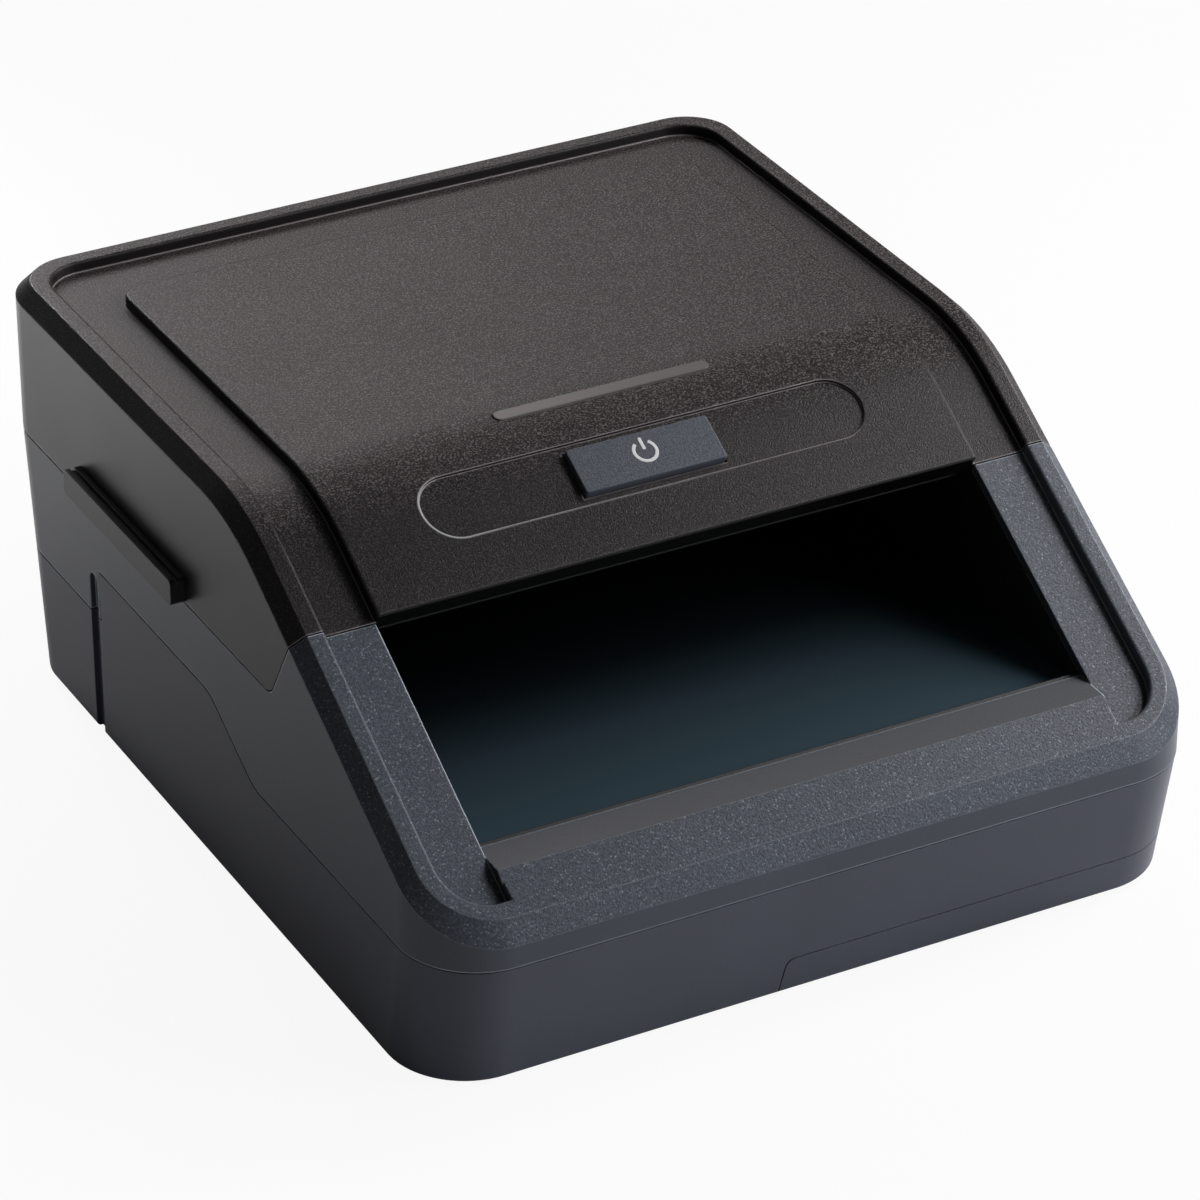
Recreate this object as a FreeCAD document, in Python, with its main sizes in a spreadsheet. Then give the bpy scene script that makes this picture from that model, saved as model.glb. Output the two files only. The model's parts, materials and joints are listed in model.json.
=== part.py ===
"""Hooded banknote checker: a viewing chamber with lamps under a lifting hood. Millimetres, +Z up.

The origin lies under the middle of the object, on the surface that it stands on. The front
faces -Y, and the sloping face of the hood and of the front frame falls towards it.
"""
import FreeCAD, Part
import math
import operator
import os

import Sketcher

Vector = FreeCAD.Vector
Rotation = FreeCAD.Rotation

DIMENSIONS = {
    # outer form, measured from the base's underside
    "body_width": 210.0,
    "body_depth": 250.0,
    "body_height": 109.0,
    "foot_height": 1.5,
    "slope_angle": 31.0,
    "bend_from_front": 107.0,
    "bend_radius": 61.0,
    "front_corner": 20.5,
    "back_corner": 17.0,
    "edge_chamfer": 3.9,
    "soft_edge": 0.8,
    "base_edge": 1.2,
    "wall": 2.6,
    "seam_gap": 0.35,
    # rim, channel and panel on the upper face
    "rim_width": 8.5,
    "front_rim": 7.6,
    "channel_depth": 3.0,
    "recess_corner": 11.0,
    "channel_corner": 11.0,
    "panel_width": 165.0,
    "panel_from_back": 27.0,
    "panel_corner": 6.0,
    # lines where the shells part
    "split_from_front": 74.0,
    "parting_height": 67.5,
    "tip_radius": 5.0,
    "seam_height": 35.0,
    "base_front_inset": 7.2,
    "base_back_inset": 9.0,
    "tongue_height": 48.8,
    "tongue_from_back": 60.0,
    "tongue_bend_from_back": 126.0,
    "tongue_end_from_back": 151.0,
    "tongue_bend": 14.0,
    "groove_from_back": 56.0,
    "groove_width": 5.0,
    "groove_height": 46.5,
    "groove_depth": 1.6,
    # lip, ledge and chamber
    "lip_depth": 13.8,
    "ledge_depth": 10.0,
    "floor_drop": 3.0,
    "floor_thick": 3.0,
    "diffuser_thick": 2.0,
    "tub_depth": 17.0,
    "tub_wall": 1.8,
    "tub_back_gap": 22.0,
    "tub_rise": 20.0,
    "rail_width": 4.0,
    "fit_gap": 0.3,
    # hood inside
    "lining_thick": 1.6,
    "lining_side_gap": 2.5,
    "lamp_end_gap": 3.0,
    "uv_from_back": 95.0,
    "uv_width": 18.0,
    "white_from_back": 65.0,
    "white_width": 12.0,
    "lamp_rise": 9.0,
    "lamp_seat": 5.0,
    "lens_flange": 1.5,
    "lens_thick": 1.0,
    "boss_radius": 3.5,
    "boss_inset": 14.0,
    "rear_boss_from_back": 42.0,
    "front_boss_from_back": 118.0,
    # button and status light
    "key_width": 39.0,
    "key_length": 13.0,
    "key_up_slope": 23.8,
    "key_tilt": 28.0,
    "key_proud": 1.0,
    "key_gap": 0.3,
    "key_flange": 1.5,
    "key_flange_gap": 0.8,
    "key_flange_thick": 1.2,
    "key_corner": 0.8,
    "control_depth": 10.0,
    "control_width": 60.0,
    "control_length": 20.0,
    "control_post_across": 26.0,
    "switch_side": 6.0,
    "switch_height": 1.9,
    "dome_radius": 3.2,
    "thumb_recess_width": 121.0,
    "thumb_recess_length": 18.0,
    "thumb_recess_depth": 0.8,
    "bar_length": 59.5,
    "bar_width": 3.6,
    "bar_behind_bend": 10.0,
    "bar_tilt": 6.5,
    "bar_proud": 0.4,
    "bar_depth": 6.0,
    "bar_board_width": 72.0,
    "bar_board_length": 8.0,
    "bar_board_depth": 7.6,
    # grips
    "grip_length": 65.0,
    "grip_height": 7.0,
    "grip_proud": 4.0,
    "grip_from_back": 82.0,
    "grip_corner": 1.2,
    "grip_groove": 1.3,
    # hinge and catch
    "hinge_offset": 1.5,
    "hinge_across": 60.0,
    "knuckle_radius": 3.5,
    "hood_knuckle": 12.0,
    "frame_knuckle": 8.0,
    "knuckle_gap": 0.2,
    "knuckle_relief": 0.4,
    "knuckle_web": 6.0,
    "pin_radius": 2.0,
    "pin_running_gap": 0.05,
    "pin_seat_gap": 0.03,
    "catch_behind_tip": 12.0,
    "catch_block": 9.0,
    "magnet_radius": 3.0,
    "magnet_height": 3.0,
    "keeper_thick": 1.0,
    "disc_gap": 0.05,
    # boards and inlet
    "board_thick": 1.6,
    "board_side_gap": 12.0,
    "board_length": 88.0,
    "board_from_back": 15.0,
    "board_rise": 8.0,
    "standoff_radius": 3.0,
    "standoff_inset": 5.0,
    "backlight_post_gap": 9.0,
    "backlight_margin": 14.0,
    "inlet_across": -35.0,
    "inlet_width": 9.0,
    "inlet_height": 11.0,
    "inlet_length": 19.0,
    "inlet_nose_radius": 4.0,
    "inlet_bore_radius": 2.8,
    "inlet_bore_depth": 9.0,
    "inlet_pin_radius": 1.0,
    "inlet_pin_length": 8.0,
    "lead_across": 30.0,
    "lead_width": 12.0,
    "lead_thick": 0.8,
    "lead_from_back": 17.4,
    "socket_height": 6.0,
    "lamp_socket_height": 1.5,
    "lamp_socket_length": 6.0,
    "socket_margin": 1.5,
    "chip_side": 12.0,
    "chip_height": 1.6,
    "capacitor_radius": 5.0,
    "capacitor_height": 14.0,
    "choke_side": 14.0,
    "choke_height": 10.0,
    "buzzer_radius": 6.0,
    "buzzer_height": 7.0,
    "buzzer_across": 40.0,
    "uv_led": 5.0,
    "white_led": 3.5,
    "lamp_led_height": 2.0,
    "status_led": 3.0,
    "small_led_height": 1.0,
    # posts, feet, hatch and screws
    "foot_radius": 6.0,
    "foot_inset": 21.0,
    "foot_from_front": 44.0,
    "foot_from_back": 28.0,
    "base_boss_radius": 5.0,
    "base_boss_inset": 14.0,
    "base_boss_from_front": 66.0,
    "base_boss_from_back": 44.0,
    "frame_boss_height": 14.0,
    "tub_post_radius": 4.0,
    "tub_post_inset": 11.5,
    "tub_post_from_front": 52.0,
    "tub_post_from_back": 50.0,
    "screw_radius": 1.5,
    "screw_head_radius": 2.8,
    "screw_head_height": 2.0,
    "screw_bite": 9.0,
    "control_bite": 5.0,
    "hatch_left": -10.0,
    "hatch_slant": 1.5,
    "hatch_height": 10.5,
    "hatch_depth": 28.0,
    "hatch_corner": 2.5,
    "hatch_tab": 8.0,
    "hatch_screw_across": 45.0,
}

OPERATORS = {"+": operator.add, "-": operator.sub, "*": operator.mul, "/": operator.truediv}
PLANES = {"XY": "XY_Plane", "YZ": "YZ_Plane", "XZ": "XZ_Plane"}
TURNS = {
    "X": Rotation(Vector(0, 1, 0), 90),
    "Y": Rotation(Vector(1, 0, 0), -90),
    "Z": Rotation(),
}
UV_LED_COUNT = 8
WHITE_LED_COUNT = 12
STATUS_LED_COUNT = 5
BACKLIGHT_COLUMNS = 6
BACKLIGHT_ROWS = 5
NEARLY_HALF = 0.49
TINY = 1e-4
FLUSH = 0.02
EDGE_STEPS = 6
OVERSHOOT = 1.0
CLEAR = 30.0
ZERO = 0.0


class Size:
    """A length or angle that keeps its value and the sheet formula that it comes from."""

    def __init__(self, value, formula):
        self.value = float(value)
        self.formula = formula

    def joined(self, symbol, other, other_first=False):
        """This size and another one, under one of the four operators."""
        other = as_size(other)
        first, second = (other, self) if other_first else (self, other)
        value = OPERATORS[symbol](first.value, second.value)
        return Size(value, f"({first.formula} {symbol} {second.formula})")

    def __add__(self, other):
        return self.joined("+", other)

    def __radd__(self, other):
        return self.joined("+", other, other_first=True)

    def __sub__(self, other):
        return self.joined("-", other)

    def __rsub__(self, other):
        return self.joined("-", other, other_first=True)

    def __mul__(self, other):
        return self.joined("*", other)

    def __rmul__(self, other):
        return self.joined("*", other, other_first=True)

    def __truediv__(self, other):
        return self.joined("/", other)

    def __rtruediv__(self, other):
        return self.joined("/", other, other_first=True)

    def __neg__(self):
        return 0 - self


class Sheet:
    """The driving dimensions, kept as cells with aliases and read back as sizes."""

    def __init__(self, document, dimensions):
        self.table = document.addObject("Spreadsheet::Sheet", "sheet")
        for row, (alias, value) in enumerate(dimensions.items(), start=1):
            self.table.set(f"A{row}", alias)
            self.table.set(f"B{row}", str(value))
            self.table.setAlias(f"B{row}", alias)
        document.recompute()

    def __getattr__(self, alias):
        return Size(self.table.get(alias), f"sheet.{alias}")


def as_size(value):
    """A plain number or a size, as a size."""
    return value if isinstance(value, Size) else Size(value, f"({value})")


def sine(angle):
    """Sine of an angle in degrees."""
    return Size(math.sin(math.radians(angle.value)), f"sin({angle.formula})")


def cosine(angle):
    """Cosine of an angle in degrees."""
    return Size(math.cos(math.radians(angle.value)), f"cos({angle.formula})")


def tangent(angle):
    """Tangent of an angle in degrees."""
    return Size(math.tan(math.radians(angle.value)), f"tan({angle.formula})")


def across(width):
    """The span of a width that is centred on the middle plane."""
    return -width / 2, width / 2


def around(centre, width):
    """The span of a width about a centre."""
    return centre - width / 2, centre + width / 2


def bind(item, path, size):
    """Tie one property of an object to its sheet formula."""
    item.setExpression(path, as_size(size).formula)


def place(item, x, y, z, tilt=None):
    """Put an object at a point, leaning back about X by a tilt."""
    if tilt is not None:
        item.Placement = FreeCAD.Placement(Vector(), Rotation(Vector(1, 0, 0), tilt.value))
        bind(item, "Placement.Rotation.Angle", tilt)
    for letter, size in zip("xyz", (x, y, z)):
        bind(item, f"Placement.Base.{letter}", size)
    return item


def block(name, x, y, z):
    """A box between three spans."""
    box = doc.addObject("Part::Box", name)
    for path, (low, high) in zip(("Length", "Width", "Height"), (x, y, z)):
        bind(box, path, high - low)
    return place(box, x[0], y[0], z[0])


def rod(name, radius, length, x, y, z, along="Z"):
    """A round bar that starts at a point and runs along one axis."""
    bar = doc.addObject("Part::Cylinder", name)
    bar.Placement = FreeCAD.Placement(Vector(), TURNS[along])
    bind(bar, "Radius", radius)
    bind(bar, "Height", length)
    return place(bar, x, y, z)


def fuse(name, *pieces):
    """Several solids made one."""
    union = doc.addObject("Part::MultiFuse", name)
    union.Shapes = list(pieces)
    union.Refine = True
    return union


def group(name, pieces):
    """Several solids that stay apart, kept as one object."""
    bundle = doc.addObject("Part::Compound", name)
    bundle.Links = list(pieces)
    return bundle


def cut(name, base, *tools):
    """A solid with one or more others taken away from it."""
    result = doc.addObject("Part::Cut", name)
    result.Base = base
    result.Tool = tools[0] if len(tools) == 1 else group(name + "_cutters", tools)
    result.Refine = True
    return result


def common(name, first, second):
    """What two solids share."""
    result = doc.addObject("Part::Common", name)
    result.Base = first
    result.Tool = second
    result.Refine = True
    return result


def sketch_outline(body, name, plane, corners, offset):
    """A closed outline with straight sides on one of the body's main planes."""
    sketch = body.newObject("Sketcher::SketchObject", name)
    origin_planes = [item for item in body.Origin.OriginFeatures if item.Role == PLANES[plane]]
    sketch.AttachmentSupport = (origin_planes[0], "")
    sketch.MapMode = "FlatFace"
    bind(sketch, "AttachmentOffset.Base.z", offset)
    points = [Vector(as_size(u).value, as_size(v).value, 0) for u, v, *_ in corners]
    count = len(points)
    for index, start in enumerate(points):
        sketch.addGeometry(Part.LineSegment(start, points[(index + 1) % count]), False)
    for index in range(count):
        sketch.addConstraint(Sketcher.Constraint("Coincident", index, 2, (index + 1) % count, 1))
    for index, (u, v, *_) in enumerate(corners):
        for kind, size in (("DistanceX", as_size(u)), ("DistanceY", as_size(v))):
            number = sketch.addConstraint(Sketcher.Constraint(kind, -1, 1, index, 1, size.value))
            sketch.setExpression(f"Constraints[{number}]", size.formula)
    return sketch


def dress(body, kind, path, size, wanted):
    """Add a fillet or a chamfer to the edges of a body that a test picks."""
    tip = body.Tip
    names = [f"Edge{index}" for index, edge in enumerate(tip.Shape.Edges, 1) if wanted(edge)]
    feature = body.newObject(f"PartDesign::{kind}", f"{body.Name}_{kind.lower()}")
    feature.Base = (tip, names)
    bind(feature, path, size)
    doc.recompute()


def edge_at(plane, u, v):
    """A test for the straight edge that stands on one point of a plane."""
    def wanted(edge):
        ends = [vertex.Point for vertex in edge.Vertexes]
        first, second = plane.lower()
        flat = [(getattr(end, first), getattr(end, second)) for end in ends]
        return len(ends) == 2 and all(math.dist(point, (u, v)) < TINY for point in flat)
    return wanted


def prism(name, plane, corners, low, high):
    """An outline on a main plane, padded from low to high.

    A corner is (across, up) or (across, up, radius), where the radius rounds the corner's edge.
    """
    body = doc.addObject("PartDesign::Body", name)
    offset = -high if plane == "XZ" else low
    sketch = sketch_outline(body, name + "_outline", plane, corners, offset)
    pad = body.newObject("PartDesign::Pad", name + "_pad")
    pad.Profile = sketch
    bind(pad, "Length", high - low)
    doc.recompute()
    for u, v, *radius in corners:
        if radius:
            dress(body, "Fillet", "Radius", radius[0], edge_at(plane, as_size(u).value, as_size(v).value))
    return body


def is_upright(edge):
    """Whether a straight edge climbs in Z on one of the side planes."""
    box = edge.BoundBox
    return box.XLength < TINY and box.ZLength > 1 and len(edge.Vertexes) == 2


def round_uprights(body, front_radius, back_radius):
    """Round the upright corner edges of a form, the front ones and the back ones apart."""
    middle = (y_front.value + y_back.value) / 2

    def at_front(edge):
        flat = edge.BoundBox.YLength < edge.BoundBox.ZLength / 2
        return is_upright(edge) and flat and edge.BoundBox.YMax < middle

    def at_back(edge):
        flat = edge.BoundBox.YLength < edge.BoundBox.ZLength / 2
        return is_upright(edge) and flat and edge.BoundBox.YMin > middle

    dress(body, "Fillet", "Radius", front_radius, at_front)
    dress(body, "Fillet", "Radius", back_radius, at_back)


def slope_z(y):
    """Height of the sloping plane above a place along Y."""
    return z_top - (y_bend - y) * tangent(sheet.slope_angle)


def rear_y(z):
    """Place of the leaning back wall of the frame and base at a height."""
    return y_back - (z_part - z) * sheet.base_back_inset / sheet.parting_height


def upper_line(depth):
    """The two straight runs of the upper face, at a depth under it: front end, bend and back end."""
    lowered = depth / cosine(sheet.slope_angle)
    bend = y_bend + depth * tangent(sheet.slope_angle / 2)
    front = y_front - CLEAR
    return (front, slope_z(front) - lowered), (bend, z_top - depth), (y_back + CLEAR, z_top - depth)


def upper_slab(name, depth):
    """All that lies less than a depth under the upper face, and the space above it."""
    front, bend, back = upper_line(depth)
    ceiling = z_top + CLEAR
    corners = [front, (*bend, sheet.bend_radius - depth), back, (back[0], ceiling), (front[0], ceiling)]
    return prism(name, "YZ", corners, *across(sheet.body_width))


def outer_form():
    """The closed outer form of hood and frame, with rounded corners and a chamfered rim."""
    corners = [
        (y_front, z_seam),
        (y_front, slope_z(y_front)),
        (y_bend, z_top, sheet.bend_radius),
        (y_back, z_top),
        (y_back, z_part),
        (rear_y(z_seam), z_seam),
    ]
    form = prism("outer_form", "YZ", corners, *across(sheet.body_width))
    round_uprights(form, sheet.front_corner, sheet.back_corner)
    upper = [face for face in form.Tip.Shape.Faces if faces_up(face)]

    def on_rim(edge):
        return sum(any(edge.isSame(other) for other in face.Edges) for face in upper) == 1

    dress(form, "Chamfer", "Size", sheet.edge_chamfer, on_rim)
    return form


def faces_up(face):
    """Whether a face looks mainly upwards in its middle."""
    low_u, high_u, low_v, high_v = face.ParameterRange
    return face.normalAt((low_u + high_u) / 2, (low_v + high_v) / 2).z > 0.5


def depth_under_top(point):
    """How far a point lies under the bent upper face."""
    radius = sheet.bend_radius.value
    slope = math.radians(sheet.slope_angle.value)
    run = radius * math.tan(slope / 2)
    if point.y > y_bend.value + run:
        return z_top.value - point.z
    if point.y < y_bend.value - run * math.cos(slope):
        return (slope_z(point.y).value - point.z) * math.cos(slope)
    return radius - math.hypot(point.y - y_bend.value - run, point.z - z_top.value + radius)


def points_on_top(edge):
    """Points along an edge that lies in the upper face, or none for any other edge."""
    start = edge.FirstParameter
    stride = (edge.LastParameter - start) / EDGE_STEPS
    points = [edge.valueAt(start + stride * step) for step in range(EDGE_STEPS + 1)]
    return points if all(abs(depth_under_top(point)) < FLUSH for point in points) else []


def is_channel_edge(edge):
    """Whether an edge is an upper edge of the channel between the rim and the panel."""
    points = points_on_top(edge)
    side = sheet.body_width.value / 2 - sheet.rim_width.value + TINY
    back = y_back.value - sheet.rim_width.value + TINY
    front = y_front.value + sheet.front_rim.value - TINY
    panel_side = sheet.panel_width.value / 2 - TINY
    corner_y = y_back.value - sheet.panel_from_back.value - sheet.panel_corner.value - TINY
    within = all(abs(point.x) < side and front < point.y < back for point in points)
    beside = all(abs(point.x) > panel_side for point in points) or all(point.y > corner_y for point in points)
    return bool(points) and within and beside


def is_front_edge(edge):
    """Whether an edge is the hood's upper front edge, along the split."""
    points = points_on_top(edge)
    if not points:
        return False
    first, last = points[0], points[-1]
    level = abs(first.y - last.y) < TINY
    before_key = first.y < key_y.value - sheet.thumb_recess_length.value
    return level and before_key and abs(first.x - last.x) > sheet.panel_width.value / 2


def soften(name, solid, radius, *tests):
    """A solid with the edges that each test picks rounded, one test after another."""
    body = doc.addObject("PartDesign::Body", name)
    body.BaseFeature = solid
    doc.recompute()
    for wanted in tests:
        dress(body, "Fillet", "Radius", radius, wanted)
    return body


def inner_form():
    """The hollow of hood and frame, one wall inside the outer form and under the channel."""
    skin = sheet.channel_depth + sheet.wall
    front = y_front + sheet.wall
    bend = y_bend + skin * tangent(sheet.slope_angle / 2)
    low = z_seam - sheet.wall
    corners = [
        (front, low),
        (front, slope_z(front) - skin / cosine(sheet.slope_angle)),
        (bend, z_top - skin, sheet.bend_radius - skin),
        (y_back - sheet.wall, z_top - skin),
        (y_back - sheet.wall, z_part),
        (rear_y(low) - sheet.wall, low),
    ]
    form = prism("inner_form", "YZ", corners, *across(sheet.body_width - 2 * sheet.wall))
    round_uprights(form, sheet.front_corner - sheet.wall, sheet.back_corner - sheet.wall)
    return form


def hood_zone(name, gap):
    """All that belongs to the hood: above the parting line and behind the split."""
    low = z_part + gap
    shift = y_split + gap / cosine(sheet.slope_angle)
    lean = tangent(sheet.slope_angle)
    high = z_top + CLEAR
    corners = [
        (shift + (z_split - low) * lean, low, sheet.tip_radius),
        (y_back + CLEAR, low),
        (y_back + CLEAR, high),
        (shift + (z_split - high) * lean, high),
    ]
    return prism(name, "YZ", corners, *across(sheet.body_width + CLEAR))


def channel_cutter():
    """The sunk channel between the rim and the raised panel, down to the ends of the pillars."""
    side = sheet.body_width / 2 - sheet.rim_width
    front = y_front + sheet.front_rim
    back = y_back - sheet.rim_width
    outer = [
        (-side, front, sheet.recess_corner),
        (side, front, sheet.recess_corner),
        (side, back, sheet.channel_corner),
        (-side, back, sheet.channel_corner),
    ]
    half = sheet.panel_width / 2
    panel_back = y_back - sheet.panel_from_back
    inner = [
        (-half, y_front - CLEAR),
        (half, y_front - CLEAR),
        (half, panel_back, sheet.panel_corner),
        (-half, panel_back, sheet.panel_corner),
    ]
    span = z_under, z_top + CLEAR
    ring = cut("channel_ring", prism("channel_outside", "XY", outer, *span),
               prism("channel_inside", "XY", inner, *span))
    return common("channel_cutter", upper_slab("channel_slab", sheet.channel_depth), ring)


def panel_pocket():
    """The hollow that leaves one wall under the raised panel, clear of the hood's front edge."""
    half = sheet.panel_width / 2 - sheet.wall
    skin = sheet.channel_depth + sheet.wall
    front = y_split + skin * 2
    back = y_back - sheet.panel_from_back - sheet.wall
    footprint = block("panel_pocket_footprint", (-half, half), (front, back), (z_part, z_top + CLEAR))
    return cut("panel_pocket", footprint, upper_slab("panel_slab", sheet.wall))


def key_point(v, w):
    """Y and Z of a place in the key's own frame: v up the slope and w out of it."""
    along_y = key_y + v * cosine(sheet.key_tilt) - w * sine(sheet.key_tilt)
    along_z = key_z + v * sine(sheet.key_tilt) + w * cosine(sheet.key_tilt)
    return along_y, along_z


def key_block(name, x, v, w):
    """A box in the key's own frame."""
    box = doc.addObject("Part::Box", name)
    for path, (low, high) in zip(("Length", "Width", "Height"), (x, v, w)):
        bind(box, path, high - low)
    return place(box, x[0], *key_point(v[0], w[0]), sheet.key_tilt)


def key_rod(name, radius, x, v, w):
    """A round bar in the key's own frame, along w."""
    bar = doc.addObject("Part::Cylinder", name)
    bind(bar, "Radius", radius)
    bind(bar, "Height", w[1] - w[0])
    return place(bar, x, *key_point(v, w[0]), sheet.key_tilt)


def bar_point(w):
    """Y and Z of a place on the status bar's own axis, w out of the hood."""
    return y_bar - w * sine(sheet.bar_tilt), z_bar + w * cosine(sheet.bar_tilt)


def bar_prism(name, clearance, w):
    """The status bar's rounded outline with a clearance, between two depths."""
    half_x = sheet.bar_length / 2 + clearance
    half_y = sheet.bar_width / 2 + clearance
    round_end = half_y * 2 * NEARLY_HALF
    corners = [
        (-half_x, -half_y, round_end),
        (half_x, -half_y, round_end),
        (half_x, half_y, round_end),
        (-half_x, half_y, round_end),
    ]
    body = prism(name, "XY", corners, *w)
    return place(body, ZERO, y_bar, z_bar, sheet.bar_tilt)


def bar_block(name, x, v, w):
    """A box in the status bar's own frame."""
    box = doc.addObject("Part::Box", name)
    for path, (low, high) in zip(("Length", "Width", "Height"), (x, v, w)):
        bind(box, path, high - low)
    y, z = bar_point(w[0])
    y = y + v[0] * cosine(sheet.bar_tilt)
    z = z + v[0] * sine(sheet.bar_tilt)
    return place(box, x[0], y, z, sheet.bar_tilt)


def thumb_recess():
    """The shallow stadium round the key, which follows the bent upper face."""
    half_x = sheet.thumb_recess_width / 2
    half_v = sheet.thumb_recess_length / 2
    round_end = half_v * 2 * NEARLY_HALF
    corners = [
        (-half_x, -half_v, round_end),
        (half_x, -half_v, round_end),
        (half_x, half_v, round_end),
        (-half_x, half_v, round_end),
    ]
    stadium = prism("thumb_stadium", "XY", corners, -half_v, half_v)
    place(stadium, ZERO, key_y, key_z, sheet.key_tilt)
    return common("thumb_recess", upper_slab("thumb_slab", sheet.thumb_recess_depth), stadium)


def hinge_rods(name, radius, spans):
    """Round bars on the hinge line, one for each span along X."""
    return [rod(f"{name}_{index}", radius, high - low, low, y_axis, z_part, "X")
            for index, (low, high) in enumerate(spans)]


def hinge_webs(name, spans, z):
    """Blocks that tie the knuckles to the back wall, one for each span along X."""
    y = y_back - sheet.wall, y_axis
    return [block(f"{name}_{index}", span, y, z) for index, span in enumerate(spans)]


def hood_knuckle_spans(extra):
    """Spans along X of the hood's two knuckles, each longer by an extra at both ends."""
    width = sheet.hood_knuckle + 2 * extra
    return [around(middle, width) for middle in (-sheet.hinge_across, sheet.hinge_across)]


def frame_knuckle_spans(extra):
    """Spans along X of the frame's four knuckles, each longer by an extra at its outer end."""
    spans = []
    near = sheet.hood_knuckle / 2 + sheet.knuckle_gap
    far = near + sheet.frame_knuckle
    for middle in (-sheet.hinge_across, sheet.hinge_across):
        spans.append((middle - far - extra, middle - near + extra / 4))
        spans.append((middle + near - extra / 4, middle + far + extra))
    return spans


def lining_bosses(name, radius, z):
    """Four posts or holes where the lining is screwed to the hood."""
    return rods_at(name, lining_places(), radius, *z)


def lining_places():
    """Where the lining is screwed to the hood, as X and Y."""
    return [(x, y_back - y) for x in (-boss_across, boss_across)
            for y in (sheet.rear_boss_from_back, sheet.front_boss_from_back)]


def control_places():
    """Where the control board is screwed to the hood, along X."""
    return enumerate((-sheet.control_post_across, sheet.control_post_across))


def catch_blocks(name, z):
    """A block on each inner side wall, behind the tip of the hood, for the magnetic catch."""
    wall_x = sheet.body_width / 2 - sheet.wall / 2
    reach = sheet.catch_block + sheet.wall / 2
    y = around(y_catch, sheet.catch_block)
    return [block(f"{name}_left", (-wall_x, -wall_x + reach), y, z),
            block(f"{name}_right", (wall_x - reach, wall_x), y, z)]


def catch_discs(name, radius, z):
    """A disc in the middle of each catch block."""
    x = sheet.body_width / 2 - sheet.wall - sheet.catch_block / 2
    return rods_at(name, [(-x, y_catch), (x, y_catch)], radius, *z)


def make_hood_shell(outer, inner, channel):
    """The textured cover with its rim, channel, panel, key opening, posts and knuckles."""
    closed = common("hood_block", outer, hood_zone("hood_zone_hood", sheet.seam_gap))
    shell = cut("hood_hollowed", closed, inner, channel, panel_pocket())
    post_top = -sheet.wall / 2
    control_post = -sheet.control_depth, post_top
    control_posts = [key_rod(f"control_post_{index}", sheet.standoff_radius, x, ZERO, control_post)
                     for index, x in control_places()]
    bar_post = sheet.bar_length / 2 + sheet.standoff_radius
    post_side = across(sheet.standoff_radius)
    bar_post_span = -sheet.bar_board_depth, post_top
    bar_posts = [bar_block(f"bar_post_{index}", around(x, sheet.standoff_radius), post_side, bar_post_span)
                 for index, x in enumerate((-bar_post, bar_post))]
    low = z_part + sheet.seam_gap
    knuckles = hood_knuckle_spans(ZERO)
    whole = fuse(
        "hood_with_posts", shell,
        *lining_bosses("hood_boss", sheet.boss_radius, (z_lining_top, z_top + post_top)),
        *control_posts, *bar_posts,
        *catch_blocks("hood_catch", (low, low + sheet.catch_block)),
        *hinge_rods("hood_knuckle", sheet.knuckle_radius, knuckles),
        *hinge_webs("hood_web", knuckles, (low, z_part + sheet.knuckle_web)),
    )
    pilot = sheet.screw_radius
    key_opening = key_block("key_opening", across(sheet.key_width + 2 * sheet.key_gap),
                            across(sheet.key_length + 2 * sheet.key_gap),
                            (OVERSHOOT - sheet.control_depth, sheet.control_depth))
    control_low = -sheet.control_depth
    control_hole = control_low - OVERSHOOT, control_low + sheet.control_bite
    sharp = cut(
        "hood_sharp", whole, key_opening, thumb_recess(),
        bar_prism("bar_opening", sheet.fit_gap / 2, (-sheet.bar_depth - OVERSHOOT, sheet.bar_depth)),
        *lining_bosses("hood_boss_hole", pilot, (z_lining_top - OVERSHOOT, z_lining_top + sheet.screw_bite)),
        *[key_rod(f"control_hole_{index}", pilot, x, ZERO, control_hole) for index, x in control_places()],
        *catch_discs("keeper_pocket", sheet.magnet_radius + sheet.disc_gap,
                     (low - OVERSHOOT, low + sheet.keeper_thick)),
        *hinge_rods("hood_relief", sheet.knuckle_radius + sheet.knuckle_relief,
                    frame_knuckle_spans(sheet.knuckle_relief)),
        *hinge_rods("hood_bore", sheet.pin_radius + sheet.pin_running_gap, hood_knuckle_spans(OVERSHOOT)),
    )
    return soften("hood_shell", sharp, sheet.soft_edge, is_channel_edge, is_front_edge)


def tongue(name, gap, x):
    """The raised stretch of the base's side, with its S-shaped front end."""
    low = z_seam - sheet.wall
    top = z_under + sheet.tongue_height + gap
    floor = z_seam + gap - sheet.seam_gap
    end = y_back - sheet.tongue_end_from_back - gap
    corners = [
        (end - sheet.tongue_bend * 2, low),
        (y_back - sheet.tongue_from_back + gap, low),
        (y_back - sheet.tongue_from_back + gap, top),
        (y_back - sheet.tongue_bend_from_back - gap, top, sheet.tongue_bend),
        (end, floor, sheet.tongue_bend),
        (end - sheet.tongue_bend * 2, floor),
    ]
    return prism(name, "YZ", corners, *x)


def side_groove(name, x):
    """The upright groove with a round top in the side of base and frame."""
    low = z_under - OVERSHOOT
    high = z_under + sheet.groove_height
    back, front = around(y_back - sheet.groove_from_back, sheet.groove_width)
    round_top = sheet.groove_width * NEARLY_HALF
    corners = [(back, low), (front, low), (front, high, round_top), (back, high, round_top)]
    return prism(name, "YZ", corners, *x)


def both_sides(make, name, *arguments, inset, outset):
    """One cutter or piece on each side wall, between an inset and an outset from its face."""
    half = sheet.body_width / 2
    return [make(f"{name}_left", *arguments, (-half - outset, -half + inset)),
            make(f"{name}_right", *arguments, (half - inset, half + outset))]


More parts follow.
